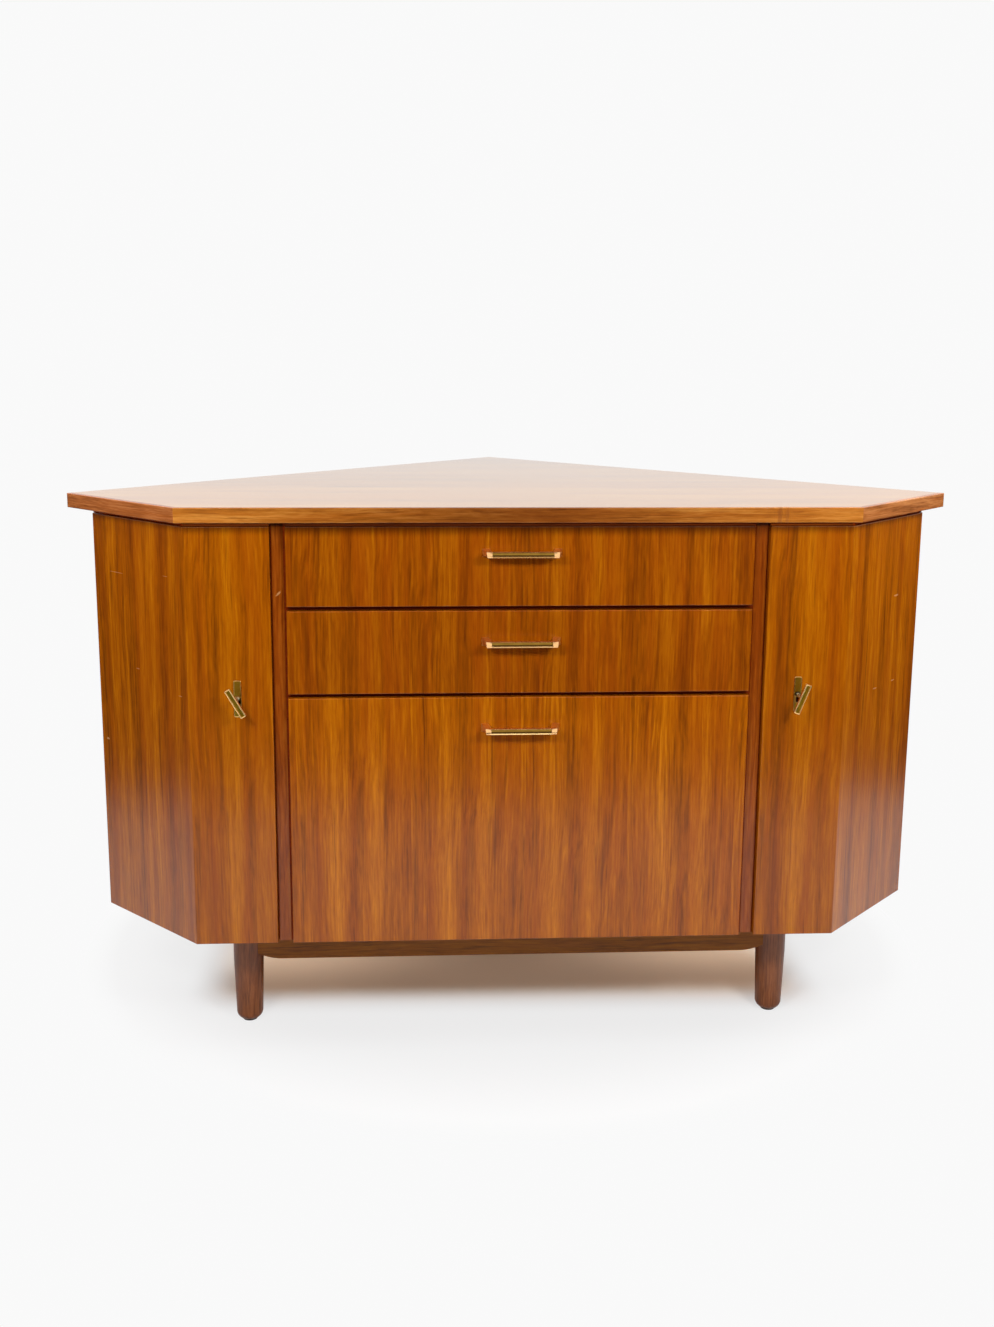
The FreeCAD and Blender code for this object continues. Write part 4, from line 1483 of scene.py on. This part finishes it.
@dataclass
class SlottedScrews(Fitting):
    """Small countersunk screws with slotted heads, set flush in one body."""

    name: str
    body: str
    places: list[tuple[Vector, Vector]]
    finish: Finish
    radius: float = 0.0024
    crown: float = 0.86
    dome: float = 0.0005
    slot_width: float = 0.0009
    slot_depth: float = 0.0006
    sunk: float = 0.0010
    first_turn: float = 0.7
    next_turn: float = 1.1
    segments: int = 20

    def fit(self, wardrobe: Wardrobe) -> None:
        """Build the heads and put them in their body.

        Args:
            wardrobe: Where the materials come from.
        """
        shape = Shaping()
        for count, (place, way) in enumerate(self.places):
            self.add_head(shape, place, way, self.first_turn + count * self.next_turn)
        seat(shape.finish(self.name), wardrobe, self.finish, self.body)

    def add_head(self, shape: Shaping, place: Vector, way: Vector, turn: float) -> None:
        """Shape one head and set it in.

        Args:
            shape: Mesh that it goes into.
            place: Middle of the head on the surface.
            way: Direction that the surface faces.
            turn: Turn of its slot, in radians.
        """
        head = Shaping()
        bmesh.ops.create_cone(head.mesh, cap_ends=True, segments=self.segments, radius1=self.radius,
                              radius2=self.radius * self.crown, depth=self.sunk + self.dome)
        bmesh.ops.translate(head.mesh, vec=(0, 0, (self.dome - self.sunk) / 2), verts=head.mesh.verts)
        for sign in HANDS.values():
            head.score(Axis.X, sign * self.slot_width / 2)
        slot = [face for face in head.facing(UP) if abs(face.calc_center_median().x) < self.slot_width / 2]
        head.push(slot, Vector((0, 0, -self.slot_depth)))
        spun = Matrix.Rotation(turn, 4, "Z")
        stood = way.to_track_quat("Z", "Y").to_matrix().to_4x4()
        bmesh.ops.transform(head.mesh, matrix=Matrix.Translation(place) @ stood @ spun, verts=head.mesh.verts)
        head.weld()
        shape.take_in(head)


@dataclass
class BackFixings(Fitting):
    """Screws along the edges of the back panels."""

    rows: tuple[float, ...] = (0.205, 0.345, 0.485, 0.625, 0.764)
    inset: float = 0.020
    across: int = 4
    radius: float = 0.0032

    def fit(self, wardrobe: Wardrobe) -> None:
        """Put a row of screws up each edge, and along the top and bottom.

        Args:
            wardrobe: Where the materials come from.
        """
        for hand, sign in HANDS.items():
            low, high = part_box(f"back_panel_{hand}")
            outer, apex = max(abs(low.x), abs(high.x)), high.y
            way = Vector((sign, 1.0, 0.0)).normalized()
            spots = {(x, z) for x in (self.inset, outer - self.inset) for z in self.rows}
            for step in range(1, self.across):
                x = self.inset + (outer - 2 * self.inset) * step / self.across
                spots |= {(x, self.rows[0]), (x, self.rows[-1])}
            places = [(Vector((sign * x, apex - x, z)), way) for x, z in sorted(spots)]
            SlottedScrews(f"back_screws_{hand}", "carcass", places, STEEL, self.radius).fit(wardrobe)


@dataclass
class HingeFixings(Fitting):
    """Screws in the leaves of the door hinges."""

    leaf_middle: float = 0.0095
    leaf_face: float = -0.0028
    heights: tuple[float, ...] = (0.262, 0.302, 0.645, 0.685)

    def fit(self, wardrobe: Wardrobe) -> None:
        """Put the screws in the door leaves and in the fixed leaves.

        Args:
            wardrobe: Where the materials come from.
        """
        fixed: list[tuple[Vector, Vector]] = []
        for hand, sign in HANDS.items():
            axis = Vector(next(j["pos_m"] for j in frame["joints"] if j["name"] == f"door_{hand}_swing"))
            along = Vector((sign, -1.0, 0.0)).normalized()
            way = Vector((sign, 1.0, 0.0)).normalized()
            moving = []
            for z in self.heights:
                foot = Vector((axis.x, axis.y, z)) + way * self.leaf_face
                moving.append((foot + along * self.leaf_middle, way))
                fixed.append((foot - along * self.leaf_middle, way))
            SlottedScrews(f"door_{hand}_hinge_screws", f"door_{hand}", moving, BRASS).fit(wardrobe)
        SlottedScrews("jamb_hinge_screws", "carcass", fixed, BRASS).fit(wardrobe)


@dataclass
class LockFixings(Fitting):
    """Screws in the corners of the lock cases."""

    inset: float = 0.005

    def fit(self, wardrobe: Wardrobe) -> None:
        """Put four screws in each case.

        Args:
            wardrobe: Where the materials come from.
        """
        for hand in HANDS:
            low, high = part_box(f"door_{hand}_lock_case")
            places = [(Vector((x, high.y, z)), -FRONT) for x in (low.x + self.inset, high.x - self.inset)
                      for z in (low.z + self.inset, high.z - self.inset)]
            SlottedScrews(f"door_{hand}_lock_screws", f"door_{hand}", places, BRASS).fit(wardrobe)


@dataclass(frozen=True)
class Lamp:
    """A soft rectangular lamp that looks at one point."""

    name: str
    place: Triple
    aim: Triple
    size: Span
    power: float
    colour: Triple = (0.97, 0.985, 1.0)

    def hang(self) -> None:
        """Put the lamp in the scene."""
        data = bpy.data.lights.new(self.name, "AREA")
        data.shape = "RECTANGLE"
        data.size, data.size_y = self.size
        data.energy = self.power
        data.color = self.colour
        lamp = bpy.data.objects.new(self.name, data)
        lamp.visible_camera = False
        lamp.visible_glossy = False
        lamp.location = self.place
        lamp.rotation_euler = (Vector(self.aim) - Vector(self.place)).to_track_quat("-Z", "Y").to_euler()
        bpy.context.scene.collection.objects.link(lamp)


@dataclass
class Studio:
    """White paper floor, soft lamps, a pale surround and the camera."""

    paper_half_width: float = 1.76
    paper_front: float = -1.50
    paper_fade: float = 0.30
    paper_white: float = 0.93
    paper_bounce: float = 0.60
    bounce_side: Span = (0.45, 0.85)
    room_grey: float = 0.04
    ceiling: float = 0.42
    ceiling_edge: Span = (0.05, 0.6)
    ambient: Triple = (0.18, 0.17, 0.16)
    backdrop: float = 0.95
    backdrop_edge: Span = (0.0, 0.4)
    floor_radius: float = 14.0
    floor_segments: int = 96
    # painted shade and light under the cabinet: a warm tint of the paper and a warm glow for the camera
    painted_shadow_warmth: Triple = (1.0, 0.92, 0.82)
    painted_shadow_glow: Triple = (0.22, 0.155, 0.105)
    glow_least: float = 0.75
    glow_side: Span = (0.12, 0.36)
    glow_back: Span = (-0.20, -0.07)
    glow_deep: float = 1.25
    shadow_front: Span = (-0.302, -0.203)
    shadow_slant: float = 0.03
    shadow_side: Span = (0.52, 0.41)
    near_white: float = 0.87
    near_share: float = 0.88
    shadow_reach: Span = (0.57, 0.52)
    shadow_fade: Span = (0.78, 1.25)
    lamps: tuple[Lamp, ...] = (
        Lamp("left_softbox", (-0.75, -1.6, 1.36), (-0.1, -0.3, 0.4), (0.45, 0.24), 12.4),
        Lamp("right_softbox", (0.75, -1.6, 1.36), (0.1, -0.3, 0.4), (0.45, 0.24), 14.1),
        Lamp("left_side_softbox", (-1.05, -0.5, 1.35), (-0.3, -0.2, 0.5), (0.5, 0.7), 5.0),
        Lamp("right_side_softbox", (1.05, -0.5, 1.35), (0.3, -0.2, 0.5), (0.5, 0.7), 6.8),
        Lamp("overhead_softbox", (0.0, -0.6, 3.0), (0.0, -0.3, 0.0), (2.6, 2.0), 32.0),
    )
    softbox_ways: tuple[Triple, ...] = ((-0.49, -0.77, 0.41), (0.49, -0.77, 0.41))
    softbox_edge: Span = (0.80, 0.92)
    softbox_mirrored: float = 1.2
    focal_pixels: float = 1361.966
    pitch: float = 0.1847
    yaw: float = 0.0541
    roll: float = 0.0059
    eye: Triple = (-0.14826, -2.24941, 1.01966)
    off_centre: Span = (10.35, -65.60)

    def set_up(self) -> None:
        """Build the whole studio."""
        self.lay_floor()
        self.surround()
        for lamp in self.lamps:
            lamp.hang()
        self.place_camera()
        bpy.context.scene.view_settings.view_transform = "Standard"

    def lay_floor(self) -> None:
        """Lay a pale floor that keeps the shadow near the cabinet and runs out into white."""
        shape = Shaping()
        bmesh.ops.create_circle(shape.mesh, cap_ends=True, segments=self.floor_segments,
                                radius=self.floor_radius)
        floor = shape.finish("paper_floor")
        w = Surface("paper_floor")
        w.tree.nodes.remove(w.tree.nodes["Principled BSDF"])
        x, y, _ = w.parted(w.place)
        aside = w.math("ABSOLUTE", x)
        seen = w.add("ShaderNodeLightPath").outputs
        camera = seen["Is Camera Ray"]
        # this mask draws the shadow's outline: inside it the camera sees the real shading, outside it mostly
        # plain white
        slanted = w.math("MULTIPLY_ADD", x, self.shadow_slant, y)
        under = w.math("MULTIPLY", w.ease(slanted, *self.shadow_front), w.ease(aside, *self.shadow_side))
        matt = self.matt_paper(w, aside, y, under, seen)
        shaded = w.work("ShaderNodeAddShader", matt, self.painted_bounce_glow(w, aside, y, under, camera))
        shares = w.vector("DIVIDE", w.place, (*self.shadow_reach, 1.0))
        far = w.ease(w.measure("LENGTH", shares), *self.shadow_fade)
        near = w.math("MULTIPLY", w.math("SUBTRACT", 1.0, under), self.near_share)
        white = w.work("ShaderNodeEmission", w.mix(far, grey(self.near_white), grey(self.backdrop)))
        share = w.math("MULTIPLY", w.math("MAXIMUM", near, far), camera)
        blend = w.work("ShaderNodeMixShader", share, shaded, white)
        w.feed_named(w.tree.nodes["Material Output"], Surface=blend)
        floor.data.materials.append(w.made)

    def matt_paper(self, w: Surface, aside: Feed, y: Feed, under: Feed,
                   seen: bpy.types.bpy_prop_collection) -> bpy.types.NodeSocket:
        """Paper with a painted warm tint in the shadow, which lends less light near the middle and ends at
        its edges.

        Args:
            w: The floor's wiring.
            aside: Distance from the middle.
            y: Place from front to back.
            under: Share of the shadow.
            seen: Kinds of ray that look at the floor.

        Returns:
            The paper's shader.
        """
        half = self.paper_fade / 2
        side = w.ease(aside, self.paper_half_width, self.paper_half_width - self.paper_fade)
        front = w.ease(y, self.paper_front - half, self.paper_front + half)
        paper = w.math("MAXIMUM", w.math("MULTIPLY", side, front), seen["Is Camera Ray"])
        white = grey(self.paper_white)
        warm = (*(self.paper_white * part for part in self.painted_shadow_warmth), 1.0)
        lent = w.mix(w.ease(aside, *self.bounce_side), grey(self.paper_bounce), white)
        # painted warm tint where the shadow falls
        lit = w.mix(under, w.mix(seen["Is Diffuse Ray"], white, lent), warm)
        return w.work("ShaderNodeBsdfDiffuse", w.mix(paper, grey(self.room_grey), lit))

    def painted_bounce_glow(self, w: Surface, aside: Feed, y: Feed, under: Feed,
                       camera: Feed) -> bpy.types.NodeSocket:
        """Painted warm light in the shadow: an emission for the camera, standing for light that the underside
        throws down.

        Args:
            w: The floor's wiring.
            aside: Distance from the middle.
            y: Place from front to back.
            under: Share of the shadow.
            camera: Whether the camera looks at the floor.

        Returns:
            The glow's shader.
        """
        rise = w.ease(aside, *self.glow_side, self.glow_least, 1.0)
        deep = w.math("MULTIPLY", w.ease(y, *self.glow_back), w.ease(aside, 0.0, self.shadow_side[1]))
        rise = w.math("MULTIPLY_ADD", deep, self.glow_deep, rise)
        strength = w.math("MULTIPLY", w.math("MULTIPLY", under, rise), camera)
        return w.work("ShaderNodeEmission", (*self.painted_shadow_glow, 1.0), strength)

    def surround(self) -> None:
        """Surround of soft light: white behind the cabinet, a dim room behind the camera."""
        world = bpy.data.worlds.new("studio")
        bpy.context.scene.world = world
        world.use_nodes = True
        w = Wiring(world.node_tree)
        seen = w.add("ShaderNodeLightPath").outputs
        way = w.add("ShaderNodeTexCoord").outputs["Generated"]
        _, y, z = w.parted(way)
        white = grey(self.backdrop)
        mirrored = w.mix(w.ease(z, *self.ceiling_edge), grey(self.room_grey), grey(self.ceiling))
        mirrored = w.mix(w.ease(y, *self.backdrop_edge), mirrored, white)
        for softbox in self.softbox_ways:
            near = w.measure("DOT_PRODUCT", way, softbox)
            mirrored = w.mix(w.ease(near, *self.softbox_edge), mirrored, grey(self.softbox_mirrored))
        bounced = w.math("MAXIMUM", seen["Is Glossy Ray"], seen["Is Transmission Ray"])
        colour = w.mix(bounced, (*self.ambient, 1.0), mirrored)
        w.feed_named(w.tree.nodes["Background"], Color=w.mix(seen["Is Camera Ray"], colour, white))

    def place_camera(self) -> None:
        """Stand the camera where the photograph was taken."""
        data = bpy.data.cameras.new("camera")
        data.sensor_width = SENSOR
        data.lens = SENSOR * self.focal_pixels / PHOTO_LONG_SIDE
        data.shift_x = self.off_centre[0] / PHOTO_LONG_SIDE
        data.shift_y = self.off_centre[1] / PHOTO_LONG_SIDE
        ahead = Vector((math.sin(self.yaw) * math.cos(self.pitch), math.cos(self.yaw) * math.cos(self.pitch),
                        -math.sin(self.pitch)))
        level = Vector((math.cos(self.yaw), -math.sin(self.yaw), 0.0))
        above = level.cross(ahead)
        right = math.cos(self.roll) * level + math.sin(self.roll) * above
        up = -math.sin(self.roll) * level + math.cos(self.roll) * above
        turned = Matrix((right, up, -ahead)).transposed().to_4x4()
        camera = bpy.data.objects.new("camera", data)
        camera.matrix_world = Matrix.Translation(self.eye) @ turned
        bpy.context.scene.collection.objects.link(camera)
        bpy.context.scene.camera = camera


def main() -> None:
    """Dress the frame, fit the small pieces and set up the studio."""
    logging.basicConfig(level=logging.INFO, format="%(message)s")
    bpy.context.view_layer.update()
    wardrobe = Wardrobe()
    wardrobe.dress_nodes(frame["nodes"])
    fittings: list[Fitting] = [Pull(drawer) for drawer in DRAWERS]
    for hand in HANDS:
        fittings += [DoorKey(hand), KeyPlate(hand)]
    fittings += [TurnedLegs("legs_front"), TurnedLegs("legs_rear"), GapFillets()]
    fittings += [BackFixings(), HingeFixings(), LockFixings()]
    for fitting in fittings:
        fitting.fit(wardrobe)
    Studio().set_up()


if __name__ == "__main__":
    main()
